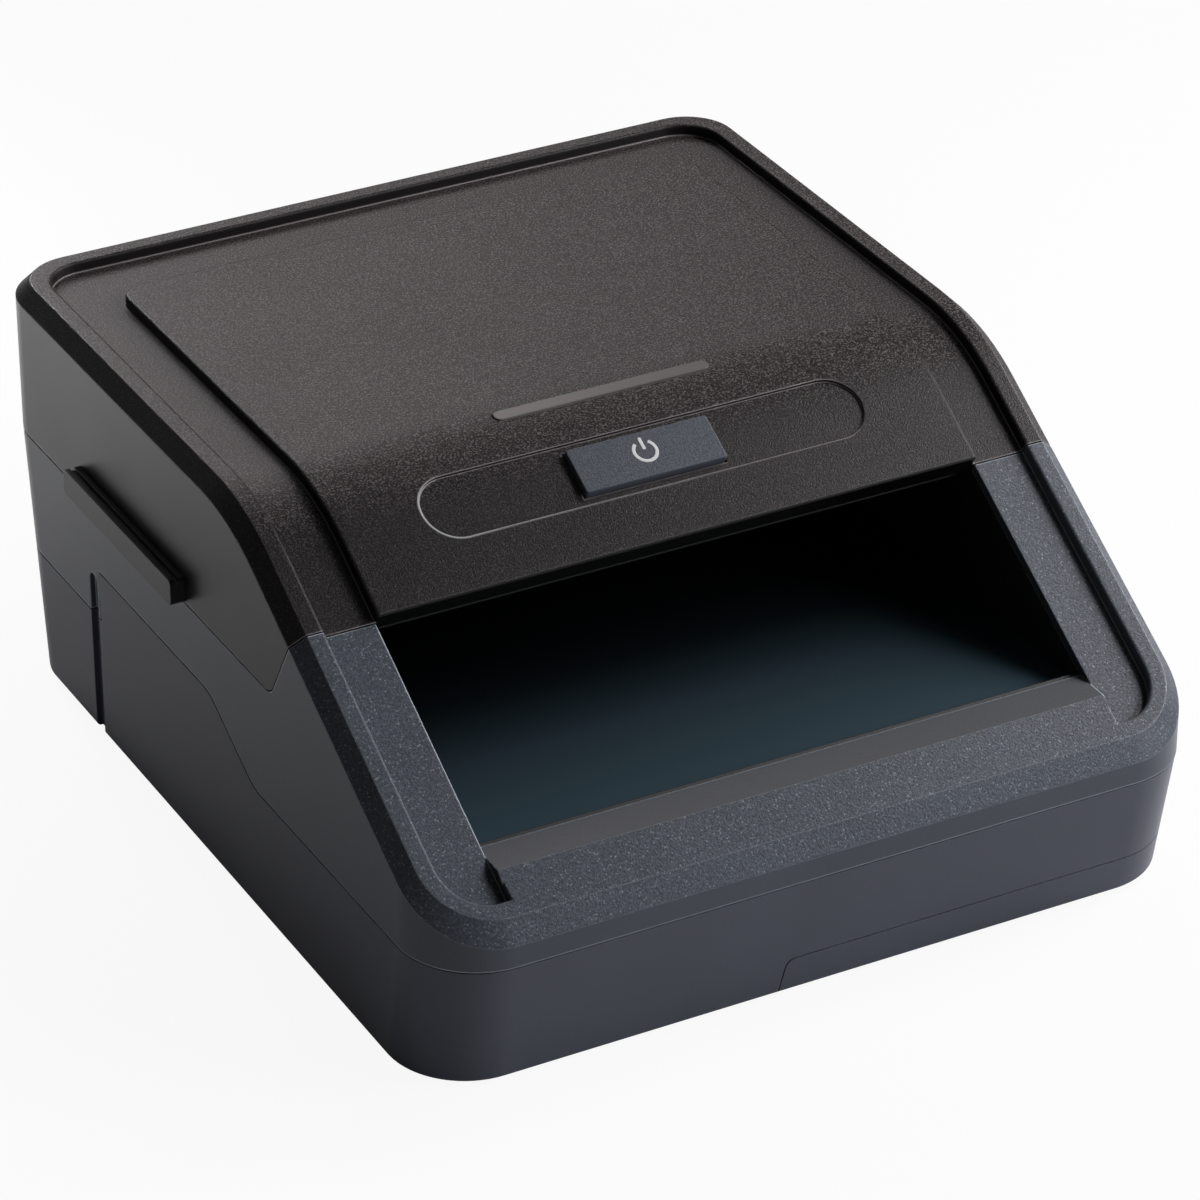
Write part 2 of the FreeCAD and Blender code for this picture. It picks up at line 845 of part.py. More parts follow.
def base_boss_places():
    """Where the base is screwed to the frame, as X and Y."""
    return [(x, y) for x in (-base_boss_across, base_boss_across)
            for y in (y_front + sheet.base_boss_from_front, y_back - sheet.base_boss_from_back)]


def rods_at(name, places, radius, low, high):
    """One upright bar at each place."""
    return [rod(f"{name}_{index}", radius, high - low, x, y, low) for index, (x, y) in enumerate(places)]


def make_front_frame(outer, inner, channel):
    """The middle housing: side walls, sloping pillars, front lip, ledge, knuckles and bosses."""
    half = sheet.panel_width / 2
    mouth = block("mouth", (-half, half), (y_lip, y_back - sheet.wall), (z_ledge, z_top + CLEAR))
    closed = cut("frame_block", outer, hood_zone("hood_zone_frame", ZERO))
    walls = cut("frame_hollowed", closed, inner, channel, mouth)
    ledge = block("ledge", (-half - sheet.wall, half + sheet.wall), (y_lip - sheet.wall, y_ledge),
                  (z_ledge - sheet.wall, z_ledge))
    reach = sheet.body_width / 2 - sheet.wall / 2
    bosses = []
    for index, (x, y) in enumerate(base_boss_places()):
        inner_x = x + sheet.base_boss_radius if x.value < 0 else x - sheet.base_boss_radius
        span = (-reach, inner_x) if x.value < 0 else (inner_x, reach)
        bosses.append(block(f"frame_boss_{index}", span, around(y, 2 * sheet.base_boss_radius),
                            (z_seam, z_seam + sheet.frame_boss_height)))
    relieved = cut("frame_relieved", walls,
                   *hinge_rods("frame_relief", sheet.knuckle_radius + sheet.knuckle_relief,
                               hood_knuckle_spans(sheet.knuckle_gap / 2)))
    knuckles = frame_knuckle_spans(ZERO)
    whole = fuse(
        "frame_with_bosses", relieved, ledge, *bosses,
        *catch_blocks("frame_catch", (z_part - sheet.catch_block, z_part)),
        *hinge_rods("frame_knuckle", sheet.knuckle_radius, knuckles),
        *hinge_webs("frame_web", knuckles, (z_part - sheet.knuckle_web, z_part)),
    )
    sharp = cut(
        "frame_sharp", whole,
        *both_sides(tongue, "tongue_notch", sheet.seam_gap, inset=sheet.wall * 2, outset=OVERSHOOT),
        *both_sides(side_groove, "frame_groove", inset=sheet.groove_depth, outset=OVERSHOOT),
        *rods_at("frame_pilot", base_boss_places(), sheet.screw_radius, z_seam - OVERSHOOT,
                 z_seam + sheet.screw_bite + OVERSHOOT),
        *catch_discs("magnet_pocket", sheet.magnet_radius + sheet.disc_gap,
                     (z_part - sheet.magnet_height, z_part + OVERSHOOT)),
        *hinge_rods("frame_bore", sheet.pin_radius + sheet.pin_seat_gap, frame_knuckle_spans(OVERSHOOT)),
    )
    return soften("front_frame", sharp, sheet.soft_edge, is_channel_edge)


def base_form(name, inset, low, high):
    """The leaning outer form of the base, or the same a wall further in."""
    def front_y(z):
        return y_front + (z_seam - z) * sheet.base_front_inset / sheet.seam_height + inset

    corners = [
        (front_y(low), low),
        (front_y(high), high),
        (rear_y(high) - inset, high),
        (rear_y(low) - inset, low),
    ]
    form = prism(name, "YZ", corners, *across(sheet.body_width - 2 * inset))
    round_uprights(form, sheet.front_corner - inset, sheet.back_corner - inset)
    return form


def is_under_edge(edge):
    """Whether an edge runs round the underside of the base."""
    return all(vertex.Z < z_under.value + TINY for vertex in edge.Vertexes)


def hatch_zone(name, gap):
    """What belongs to the service hatch, at the front right corner of the base."""
    low = z_under - OVERSHOOT
    high = z_under + sheet.hatch_height - gap
    left = sheet.hatch_left + gap
    corners = [
        (left - sheet.hatch_slant, low),
        (sheet.body_width / 2 + OVERSHOOT, low),
        (sheet.body_width / 2 + OVERSHOOT, high),
        (left, high, sheet.hatch_corner),
    ]
    return prism(name, "XZ", corners, y_front - OVERSHOOT, y_hatch - gap)


def tub_posts():
    """Where the tub is screwed to the base, as X and Y."""
    return [(x, y) for x in (-tub_post_across, tub_post_across)
            for y in (y_front + sheet.tub_post_from_front, y_back - sheet.tub_post_from_back)]


def standoffs():
    """Where the main board is screwed to the base, as X and Y."""
    side = board_width / 2 - sheet.standoff_inset
    near = y_board + sheet.standoff_inset
    far = y_board + sheet.board_length - sheet.standoff_inset
    return [(x, y) for x in (-side, side) for y in (near, far)]


def make_base():
    """The base tray and the service hatch that closes its front right corner."""
    floor = z_under + sheet.wall
    outside = base_form("base_outside", ZERO, z_under, z_seam - sheet.seam_gap)
    dress(outside, "Fillet", "Radius", sheet.base_edge, is_under_edge)
    shell = cut("base_walls", outside, base_form("base_inside", sheet.wall, floor, z_seam + sheet.wall))
    bare = cut("base_without_hatch", shell, hatch_zone("hatch_zone_base", ZERO))
    tongues = both_sides(tongue, "base_tongue", ZERO, inset=sheet.wall, outset=ZERO)
    seat = floor - sheet.wall / 2
    x = around(sheet.hatch_screw_across, 2 * sheet.hatch_tab)
    tab_top = floor + sheet.screw_head_height * 2
    whole = fuse(
        "base_with_posts", bare, *tongues,
        *rods_at("base_boss", base_boss_places(), sheet.base_boss_radius, seat, z_seam - sheet.seam_gap),
        *rods_at("tub_post", tub_posts(), sheet.tub_post_radius, seat, z_tub),
        *rods_at("standoff", standoffs(), sheet.standoff_radius, seat, z_board),
        block("hatch_tab_foot", x, (y_hatch, y_hatch + sheet.hatch_tab), (seat, tab_top)),
        block("hatch_tab", x, (y_hatch - sheet.hatch_tab, y_hatch), (floor + sheet.fit_gap, tab_top)),
    )
    well = sheet.screw_head_radius + sheet.fit_gap
    base = cut(
        "base_tray", whole,
        *both_sides(side_groove, "base_groove", inset=sheet.groove_depth, outset=OVERSHOOT),
        *rods_at("base_well", base_boss_places(), well, z_under - OVERSHOOT, z_screw_seat),
        *rods_at("base_hole", base_boss_places(), sheet.screw_radius + sheet.fit_gap, z_under, z_seam),
        *rods_at("tub_pilot", tub_posts(), sheet.screw_radius, z_tub - sheet.screw_bite, z_tub + OVERSHOOT),
        *rods_at("standoff_pilot", standoffs(), sheet.screw_radius, z_board - sheet.board_rise / 2,
                 z_board + OVERSHOOT),
        rod("hatch_pilot", sheet.screw_radius, 2 * sheet.hatch_tab, *hatch_screw_place, floor),
        rod("inlet_hole", sheet.inlet_nose_radius + sheet.fit_gap, CLEAR, sheet.inlet_across,
            y_back - CLEAR, z_inlet, "Y"),
    )
    hatch = cut(
        "service_hatch", common("hatch_walls", shell, hatch_zone("hatch_zone_cover", sheet.seam_gap)),
        rod("hatch_well", well, sheet.screw_head_height, *hatch_screw_place, z_under - sheet.fit_gap),
        rod("hatch_hole", sheet.screw_radius + sheet.fit_gap, 2 * sheet.wall, *hatch_screw_place,
            z_under - OVERSHOOT),
    )
    return base, hatch


def screws(name, places, head_low, shank_low, shank_high):
    """Pan-headed screws that point up or down, one at each place."""
    pieces = []
    for index, (x, y) in enumerate(places):
        head = rod(f"{name}_head_{index}", sheet.screw_head_radius, sheet.screw_head_height, x, y, head_low)
        shank = rod(f"{name}_shank_{index}", sheet.screw_radius, shank_high - shank_low, x, y, shank_low)
        pieces.append(fuse(f"{name}_{index}", head, shank))
    return group(name, pieces)


def control_screws():
    """The two screws that hold the control board to its posts."""
    pieces = []
    low = -sheet.control_depth - sheet.board_thick
    for index, x in control_places():
        head = key_rod(f"control_head_{index}", sheet.screw_head_radius, x, ZERO,
                       (low - sheet.screw_head_height, low))
        shank = key_rod(f"control_shank_{index}", sheet.screw_radius, x, ZERO,
                        (low, low + sheet.control_bite))
        pieces.append(fuse(f"control_screw_{index}", head, shank))
    return group("control_screws", pieces)


def make_control_board():
    """The small board under the key, with holes for its two screws."""
    span = -sheet.control_depth - sheet.board_thick, -sheet.control_depth
    plate = key_block("control_plate", across(sheet.control_width), across(sheet.control_length), span)
    hole = sheet.screw_radius + sheet.fit_gap
    cutter = span[0] - OVERSHOOT, span[1] + OVERSHOOT
    return cut("control_board", plate, *[key_rod(f"control_board_hole_{index}", hole, x, ZERO, cutter)
                                         for index, x in control_places()])


def make_main_board():
    """The board in the base, with holes for its four screws."""
    plate = block("main_plate", across(board_width), (y_board, y_board + sheet.board_length),
                  (z_board, z_board + sheet.board_thick))
    hole = sheet.screw_radius + sheet.fit_gap
    return cut("main_board", plate, *rods_at("main_board_hole", standoffs(), hole, z_board - OVERSHOOT,
                                             z_board + sheet.board_thick + OVERSHOOT))


def make_chamber_tub():
    """The tub that makes the chamber's walls, with rails for the floor."""
    skin = sheet.channel_depth + sheet.wall + 2 * sheet.fit_gap
    high = z_part + sheet.tub_rise
    lowered = skin / cosine(sheet.slope_angle)
    knee = y_bend - (z_top - lowered - high) / tangent(sheet.slope_angle)
    corners = [
        (y_tub, z_tub),
        (y_tub_back, z_tub),
        (y_tub_back, high),
        (knee, high),
        (y_tub, slope_z(y_tub) - lowered),
    ]
    half = sheet.panel_width / 2 + sheet.fit_gap
    outside = prism("tub_outside", "YZ", corners, *across(2 * (half + sheet.tub_wall)))
    floor = z_tub + sheet.tub_wall
    length = y_tub + sheet.tub_wall, y_tub_back - sheet.tub_wall
    inside = block("tub_inside", (-half, half), length, (floor, high + OVERSHOOT))
    root = sheet.tub_wall / 2
    rail_z = floor - root, z_floor - sheet.floor_thick - sheet.diffuser_thick
    rails = [block("rail_left", (-half - root, -half + sheet.rail_width), length, rail_z),
             block("rail_right", (half - sheet.rail_width, half + root), length, rail_z)]
    tub = fuse("tub_with_rails", cut("tub_walls", outside, inside), *rails)
    return cut("chamber_tub", tub, *rods_at("tub_hole", tub_posts(), sheet.screw_radius + sheet.fit_gap,
                                            z_tub - OVERSHOOT, floor + OVERSHOOT))


def chamber_plate(name, low, high):
    """A plate that fills the tub from wall to wall."""
    gap = sheet.tub_wall + sheet.fit_gap
    return block(name, across(sheet.panel_width), (y_tub + gap, y_tub_back - gap), (low, high))


def make_hood_lining():
    """The chamber's ceiling, with two lamp windows and seats for the lamp boards."""
    plate = block("lining_plate", across(lining_width), (y_lining, y_lining_back),
                  (z_lining, z_lining_top))
    through = z_lining - OVERSHOOT, z_lining_top + OVERSHOOT
    windows = []
    seats = []
    for name, y, width in lamp_rows():
        windows.append(block(f"{name}_window", across(lamp_length), around(y, width), through))
        far = lining_width / 2
        for side, span in (("left", (-far, -far + sheet.lamp_seat)), ("right", (far - sheet.lamp_seat, far))):
            seats.append(block(f"{name}_seat_{side}", span, around(y, width), (z_lining, z_lamp)))
    holes = lining_bosses("lining_hole", sheet.screw_radius + sheet.fit_gap, through)
    return cut("hood_lining", fuse("lining_with_seats", plate, *seats), *windows, *holes)


def lamp_rows():
    """Name, place along Y and width of the two lamps."""
    return (("uv", y_back - sheet.uv_from_back, sheet.uv_width),
            ("white", y_back - sheet.white_from_back, sheet.white_width))


def make_lamp(name, y, width, count, chip):
    """The board, the lights and the lens of one lamp."""
    board = block(f"{name}_board", across(lining_width), around(y, width),
                  (z_lamp, z_lamp + sheet.board_thick))
    pitch = lamp_length / count
    lights = [block(f"{name}_led_{index}", around(pitch * (index + 0.5) - lamp_length / 2, chip),
                    around(y, chip), (z_lamp - sheet.lamp_led_height, z_lamp)) for index in range(count)]
    plug = block(f"{name}_lens_plug", across(lamp_length - 2 * sheet.fit_gap),
                 around(y, width - 2 * sheet.fit_gap), (z_lining, z_lining_top + sheet.lens_thick))
    flange = block(f"{name}_lens_flange", across(lamp_length + 2 * sheet.lens_flange),
                   around(y, width + 2 * sheet.lens_flange), (z_lining_top, z_lining_top + sheet.lens_thick))
    return board, group(f"{name}_leds", lights), fuse(f"{name}_lens", plug, flange)


def make_power_button():
    """The key: a cap with softened upright corners and a flange that keeps it in the hood."""
    half_x = sheet.key_width / 2
    half_v = sheet.key_length / 2
    corner = sheet.key_corner
    corners = [(-half_x, -half_v, corner), (half_x, -half_v, corner), (half_x, half_v, corner),
               (-half_x, half_v, corner)]
    cap = prism("key_cap", "XY", corners, -key_flange_depth - sheet.key_flange_thick, sheet.key_proud)

    def upper_edge(edge):
        return edge.BoundBox.ZMin > sheet.key_proud.value - TINY

    dress(cap, "Fillet", "Radius", sheet.key_corner / 2, upper_edge)
    place(cap, ZERO, key_y, key_z, sheet.key_tilt)
    flange = key_block("key_flange_plate", across(sheet.key_width + 2 * sheet.key_flange),
                       across(sheet.key_length + 2 * sheet.key_flange),
                       (-key_flange_depth - sheet.key_flange_thick, -key_flange_depth))
    return fuse("power_button", cap, flange)


def make_status_light():
    """The light bar, its board and the lights under it."""
    bar = bar_prism("status_light_bar", ZERO, (-sheet.bar_depth, sheet.bar_proud))
    low = -sheet.bar_board_depth - sheet.board_thick
    board = bar_block("status_led_board", across(sheet.bar_board_width), across(sheet.bar_board_length),
                      (low, -sheet.bar_board_depth))
    pitch = sheet.bar_length / STATUS_LED_COUNT
    low = -sheet.bar_board_depth
    lights = []
    for index in range(STATUS_LED_COUNT):
        x = around(pitch * (index + 0.5) - sheet.bar_length / 2, sheet.status_led)
        lights.append(bar_block(f"status_led_{index}", x, across(sheet.status_led / 2),
                                (low, low + sheet.small_led_height)))
    return bar, board, group("status_leds", lights)


def make_grip(name, side):
    """A ledge on the side of the hood, grooved along its top."""
    low = z_part + sheet.seam_gap
    high = low + sheet.grip_height
    back, front = around(y_back - sheet.grip_from_back, sheet.grip_length)
    corner = sheet.grip_corner
    corners = [(back, low, corner), (front, low, corner), (front, high, corner), (back, high, corner)]
    half = sheet.body_width / 2
    inner, outer = (half, half + sheet.grip_proud)
    groove = half + sheet.grip_proud / 2
    groove_x = around(groove, sheet.grip_groove)
    span = (inner, outer) if side > 0 else (-outer, -inner)
    slot = groove_x if side > 0 else (-groove_x[1], -groove_x[0])
    return cut(name, prism(name + "_body", "YZ", corners, *span),
               block(name + "_slot", slot, (back - OVERSHOOT, front + OVERSHOOT),
                     (high - sheet.grip_groove, high + OVERSHOOT)))


def make_power_inlet():
    """The low voltage inlet on the main board, with its nose in the back wall."""
    low = z_board + sheet.board_thick
    back = y_back - sheet.board_from_back
    x = sheet.inlet_across
    body = block("inlet_body", around(x, sheet.inlet_width), (back - sheet.inlet_length, back),
                 (low, low + sheet.inlet_height))
    nose_end = rear_y(z_inlet) - sheet.fit_gap
    nose_start = back - OVERSHOOT
    nose = rod("inlet_nose", sheet.inlet_nose_radius, nose_end - nose_start, x, nose_start, z_inlet, "Y")
    bore_start = nose_end - sheet.inlet_bore_depth
    bore_length = sheet.inlet_bore_depth + OVERSHOOT
    bore = rod("inlet_bore", sheet.inlet_bore_radius, bore_length, x, bore_start, z_inlet, "Y")
    pin = rod("inlet_pin", sheet.inlet_pin_radius, sheet.inlet_pin_length, x, bore_start, z_inlet, "Y")
    return cut("power_inlet", fuse("inlet_with_nose", body, nose), bore), pin


def make_board_components():
    """The larger components that stand on the main board."""
    low = z_board + sheet.board_thick
    front = y_board + sheet.standoff_inset * 3
    chip_y = around(front + 2 * sheet.chip_side, sheet.chip_side)
    chips = [block(f"chip_{index}", around(x, sheet.chip_side), chip_y, (low, low + sheet.chip_height))
             for index, x in enumerate((-sheet.chip_side, sheet.chip_side))]
    step = 3 * sheet.capacitor_radius
    tall = rods_at("capacitor", [(step * number, front) for number in (-2, -1, 1)], sheet.capacitor_radius,
                   low, low + sheet.capacitor_height)
    choke_x = around(sheet.inlet_across, sheet.choke_side)
    choke = block("choke", choke_x, around(front + 2 * sheet.choke_side, sheet.choke_side),
                  (low, low + sheet.choke_height))
    socket_y = around(y_back - sheet.lead_from_back, sheet.lead_thick * 5)
    socket_x = around(sheet.lead_across, sheet.lead_width + 2 * sheet.socket_margin)
    socket = block("lead_socket", socket_x, socket_y, (low, low + sheet.socket_height))
    return group("board_components", chips + tall + [choke, socket])


def make_lamp_lead():
    """The flat lead from the main board, up behind the tub and forward to the lamp."""
    x = around(sheet.lead_across, sheet.lead_width)
    low = z_board + sheet.board_thick + sheet.socket_height
    level = z_lamp + sheet.board_thick + sheet.lamp_socket_height
    y = around(y_back - sheet.lead_from_back, sheet.lead_thick)
    rise = block("lead_rise", x, y, (low, level + sheet.lead_thick))
    run = block("lead_run", x, (y_back - sheet.uv_from_back, y[1]), (level, level + sheet.lead_thick))
    return fuse("lamp_lead", rise, run)


def make_backlight():
    """The board under the floor and its grid of lights."""
    low = z_tub + sheet.tub_wall
    front = y_tub + sheet.backlight_margin
    back = y_tub_back - sheet.backlight_margin
    board = block("backlight_board", across(backlight_width), (front, back),
                  (low, low + sheet.board_thick))
    step_x = backlight_width / BACKLIGHT_COLUMNS
    step_y = (back - front) / BACKLIGHT_ROWS
    top = low + sheet.board_thick
    lights = []
    for column in range(BACKLIGHT_COLUMNS):
        x = around(step_x * (column + 0.5) - backlight_width / 2, sheet.status_led)
        for row in range(BACKLIGHT_ROWS):
            y = around(front + step_y * (row + 0.5), sheet.status_led)
            lights.append(block(f"backlight_led_{column}_{row}", x, y, (top, top + sheet.small_led_height)))
    return board, group("backlight_leds", lights)


def make_nodes():
    """Every piece of the object, by the name of its node."""
    outer, inner, channel = outer_form(), inner_form(), channel_cutter()
    base, hatch = make_base()
    uv_row, white_row = lamp_rows()
    uv = make_lamp(*uv_row, UV_LED_COUNT, sheet.uv_led)
    white = make_lamp(*white_row, WHITE_LED_COUNT, sheet.white_led)
    bar, bar_board, bar_leds = make_status_light()
    inlet, inlet_pin = make_power_inlet()
    backlight_board, backlight_leds = make_backlight()
    board_top = z_board + sheet.board_thick
    tub_floor = z_tub + sheet.tub_wall
    switch_top = -sheet.control_depth + sheet.switch_height
    keeper = z_part + sheet.seam_gap
    far = sheet.hood_knuckle / 2 + sheet.knuckle_gap + sheet.frame_knuckle
    pin_spans = [around(middle, 2 * far) for middle in (-sheet.hinge_across, sheet.hinge_across)]
    feet = [(x, y) for x in (-foot_across, foot_across)
            for y in (y_front + sheet.foot_from_front, y_back - sheet.foot_from_back)]
    return [
        base, hatch,
        make_front_frame(outer, inner, channel),
        make_hood_shell(outer, inner, channel),
        make_chamber_tub(),
        chamber_plate("floor_plate", z_floor - sheet.floor_thick, z_floor),
        chamber_plate("backlight_diffuser", z_floor - sheet.floor_thick - sheet.diffuser_thick,
                      z_floor - sheet.floor_thick),
        backlight_board, backlight_leds,
        make_hood_lining(), *uv, *white,
        bar, bar_board, bar_leds,
        make_power_button(),
        make_control_board(),
        key_block("tact_switch", across(sheet.switch_side), across(sheet.switch_side),
                  (-sheet.control_depth, switch_top)),
        key_rod("button_dome", sheet.dome_radius, ZERO, ZERO,
                (switch_top, -key_flange_depth - sheet.key_flange_thick)),
        control_screws(),
        make_grip("side_grip_left", -1), make_grip("side_grip_right", 1),
        make_main_board(),
        make_board_components(),
        rod("buzzer", sheet.buzzer_radius, sheet.buzzer_height, sheet.buzzer_across,
            y_board + sheet.board_length / 2, board_top),
        inlet, inlet_pin,
        make_lamp_lead(),
        block("lamp_socket", around(sheet.lead_across, sheet.lead_width + 2 * sheet.socket_margin),
              around(y_back - sheet.uv_from_back, sheet.lamp_socket_length),
              (z_lamp + sheet.board_thick, z_lamp + sheet.board_thick + sheet.lamp_socket_height)),
        group("hinge_pins", hinge_rods("hinge_pin", sheet.pin_radius, pin_spans)),
        group("catch_magnets", catch_discs("catch_magnet", sheet.magnet_radius,
                                           (z_part - sheet.magnet_height, z_part))),
        group("catch_plates", catch_discs("catch_plate", sheet.magnet_radius,
                                          (keeper, keeper + sheet.keeper_thick))),
        group("rubber_feet", rods_at("rubber_foot", feet, sheet.foot_radius, ZERO, z_under)),
        screws("base_screws", base_boss_places(), z_screw_seat - sheet.screw_head_height, z_screw_seat,
               z_seam + sheet.screw_bite),
        screws("tub_screws", tub_posts(), tub_floor, tub_floor - sheet.screw_bite, tub_floor),
        screws("board_screws", standoffs(), board_top, z_board - sheet.board_rise / 2, board_top),
        screws("lining_screws", lining_places(), z_lining - sheet.screw_head_height, z_lining,
               z_lining_top + sheet.screw_bite - OVERSHOOT),
        screws("hatch_screw", [hatch_screw_place], z_under - sheet.fit_gap, z_under + sheet.wall / 2,
               z_under + sheet.wall + 2 * sheet.screw_head_height),
    ]


def write_nodes(nodes):
    """Check every object, then write each node's shape to its own file."""
    doc.recompute()
    failed = [item.Name for item in doc.Objects if {"Invalid", "Error"} & set(item.State)]
    if failed:
        raise RuntimeError(f"objects that did not build: {failed}")
    for item in nodes:
        if item.Shape.isNull() or not item.Shape.isValid():
            raise RuntimeError(f"no sound shape: {item.Name}")
    os.makedirs("parts", exist_ok=True)
    for item in nodes:
        item.Label = item.Name
        item.Shape.exportStep(f"parts/{item.Label}.step")
        print(item.Label, len(item.Shape.Solids), round(item.Shape.Volume, 1))


doc = FreeCAD.newDocument("banknote_checker")
sheet = Sheet(doc, DIMENSIONS)

y_front = -(sheet.body_depth + sheet.hinge_offset + sheet.knuckle_radius) / 2
y_back = y_front + sheet.body_depth
y_bend = y_front + sheet.bend_from_front
y_split = y_front + sheet.split_from_front
y_lip = y_front + sheet.lip_depth
y_ledge = y_lip + sheet.ledge_depth
y_axis = y_back + sheet.hinge_offset
y_hatch = y_front + sheet.hatch_depth
y_tub = y_ledge + sheet.fit_gap
y_tub_back = y_back - sheet.tub_back_gap
y_board = y_back - sheet.board_from_back - sheet.board_length

z_under = sheet.foot_height
z_seam = z_under + sheet.seam_height
z_part = z_under + sheet.parting_height
z_top = z_under + sheet.body_height
z_split = slope_z(y_split)
z_ledge = slope_z(y_lip)
z_floor = z_ledge - sheet.floor_drop
z_tub = z_floor - sheet.tub_depth
z_board = z_under + sheet.wall + sheet.board_rise
z_inlet = z_board + sheet.board_thick + sheet.inlet_height / 2
z_screw_seat = z_seam - sheet.seam_gap - sheet.wall

lining_width = sheet.panel_width - 2 * sheet.lining_side_gap
lamp_length = lining_width - 2 * (sheet.lamp_seat + sheet.lamp_end_gap)
boss_across = lining_width / 2 - sheet.boss_inset
tub_post_across = sheet.panel_width / 2 - sheet.tub_post_inset
backlight_width = 2 * (tub_post_across - sheet.backlight_post_gap)
foot_across = sheet.body_width / 2 - sheet.foot_inset
base_boss_across = sheet.body_width / 2 - sheet.base_boss_inset
board_width = 2 * (tub_post_across - sheet.tub_post_radius - sheet.board_side_gap)
key_flange_depth = sheet.wall + sheet.key_flange_gap

y_catch = y_split + (z_split - z_part) * tangent(sheet.slope_angle) + sheet.catch_behind_tip
lip_skin = sheet.channel_depth + sheet.wall
z_lining_top = z_split - lip_skin * cosine(sheet.slope_angle) - sheet.fit_gap
z_lining = z_lining_top - sheet.lining_thick
z_lamp = z_lining_top + sheet.lamp_rise
y_lining = y_split + lip_skin
y_lining_back = y_tub_back - 3 * sheet.tub_wall

key_y = y_split + sheet.key_up_slope * cosine(sheet.slope_angle)
key_z = z_split + sheet.key_up_slope * sine(sheet.slope_angle)
y_bar = y_bend + sheet.bar_behind_bend
bend_start = y_bend + sheet.bend_radius * tangent(sheet.slope_angle / 2)
bar_drop = (bend_start - y_bar) * (bend_start - y_bar) / (2 * sheet.bend_radius)
z_bar = z_top - bar_drop
hatch_screw_place = (sheet.hatch_screw_across, y_hatch - sheet.hatch_tab / 2)

write_nodes(make_nodes())
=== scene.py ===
"""Looks of a hooded banknote checker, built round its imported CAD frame. Metres, +Z up."""
import json
import logging
import math
from dataclasses import dataclass, field
from enum import Enum
from typing import Any

import bmesh
import bpy
from mathutils import Matrix, Vector


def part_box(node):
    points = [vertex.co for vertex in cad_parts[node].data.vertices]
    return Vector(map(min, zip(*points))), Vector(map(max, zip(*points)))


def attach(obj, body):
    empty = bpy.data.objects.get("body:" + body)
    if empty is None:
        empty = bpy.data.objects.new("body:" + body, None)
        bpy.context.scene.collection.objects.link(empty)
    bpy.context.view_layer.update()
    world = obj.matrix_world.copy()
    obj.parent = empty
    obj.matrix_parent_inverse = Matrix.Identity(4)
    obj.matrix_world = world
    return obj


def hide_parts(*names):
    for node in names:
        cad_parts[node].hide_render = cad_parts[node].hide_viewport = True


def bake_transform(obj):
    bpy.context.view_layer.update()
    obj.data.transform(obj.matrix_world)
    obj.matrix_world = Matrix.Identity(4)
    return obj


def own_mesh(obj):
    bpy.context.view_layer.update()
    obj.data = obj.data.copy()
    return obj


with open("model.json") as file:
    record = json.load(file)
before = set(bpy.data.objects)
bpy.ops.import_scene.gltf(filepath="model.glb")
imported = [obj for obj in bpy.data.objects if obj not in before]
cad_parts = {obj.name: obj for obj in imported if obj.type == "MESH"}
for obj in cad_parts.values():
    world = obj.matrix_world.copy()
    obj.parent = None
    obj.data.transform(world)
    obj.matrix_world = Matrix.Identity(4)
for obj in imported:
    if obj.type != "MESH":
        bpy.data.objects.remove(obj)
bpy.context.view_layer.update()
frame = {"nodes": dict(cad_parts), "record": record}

Colour = tuple[float, float, float]
Place = tuple[float, float, float]
Span = tuple[float, float]

LOG = logging.getLogger("banknote_checker")
WHITE: Colour = (1.0, 1.0, 1.0)

# Tolerances of the welded copies
WELD = 1e-6
NEAR = 2e-5
CREASE = math.radians(28)
FLAT = math.radians(0.1)

# The power key's own frame, which its sign and the recess round it share
KEY_CENTRE: Place = (0.0, -0.033103, 0.102929)
KEY_TILT = math.radians(28)

# Common settings of the noises
LAYERS = 3.0
SOFT: Span = (0.3, 0.7)


class Body(Enum):
    """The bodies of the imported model."""

    HOUSING = "housing"
    HOOD = "hood"
    BUTTON = "button"


class Axis(Enum):
    """The axes, by their places in a vector."""

    X = 0
    Y = 1
    Z = 2


class Source(Enum):
    """What a material can know of a point on its piece."""

    PLACE = "Object"
    NORMAL = "Normal"


def shade(red: float, green: float, blue: float) -> Colour:
    """Turn a display colour of 0 to 255 into the linear colour that shaders use.

    Args:
        red: Display red.
        green: Display green.
        blue: Display blue.

    Returns:
        The linear colour.
    """
    def linear(level: float) -> float:
        """One channel, from display to linear."""
        part = level / 255
        return part / 12.92 if part <= 0.04045 else ((part + 0.055) / 1.055) ** 2.4

    return linear(red), linear(green), linear(blue)


def scaled(colour: Colour, factor: float, lift: float = 0.0) -> Colour:
    """Make a colour lighter or darker.

    Args:
        colour: The linear colour.
        factor: What its channels are multiplied by.
        lift: What is added to each channel.

    Returns:
        The new colour.
    """
    red, green, blue = (min(channel * factor + lift, 1.0) for channel in colour)
    return red, green, blue


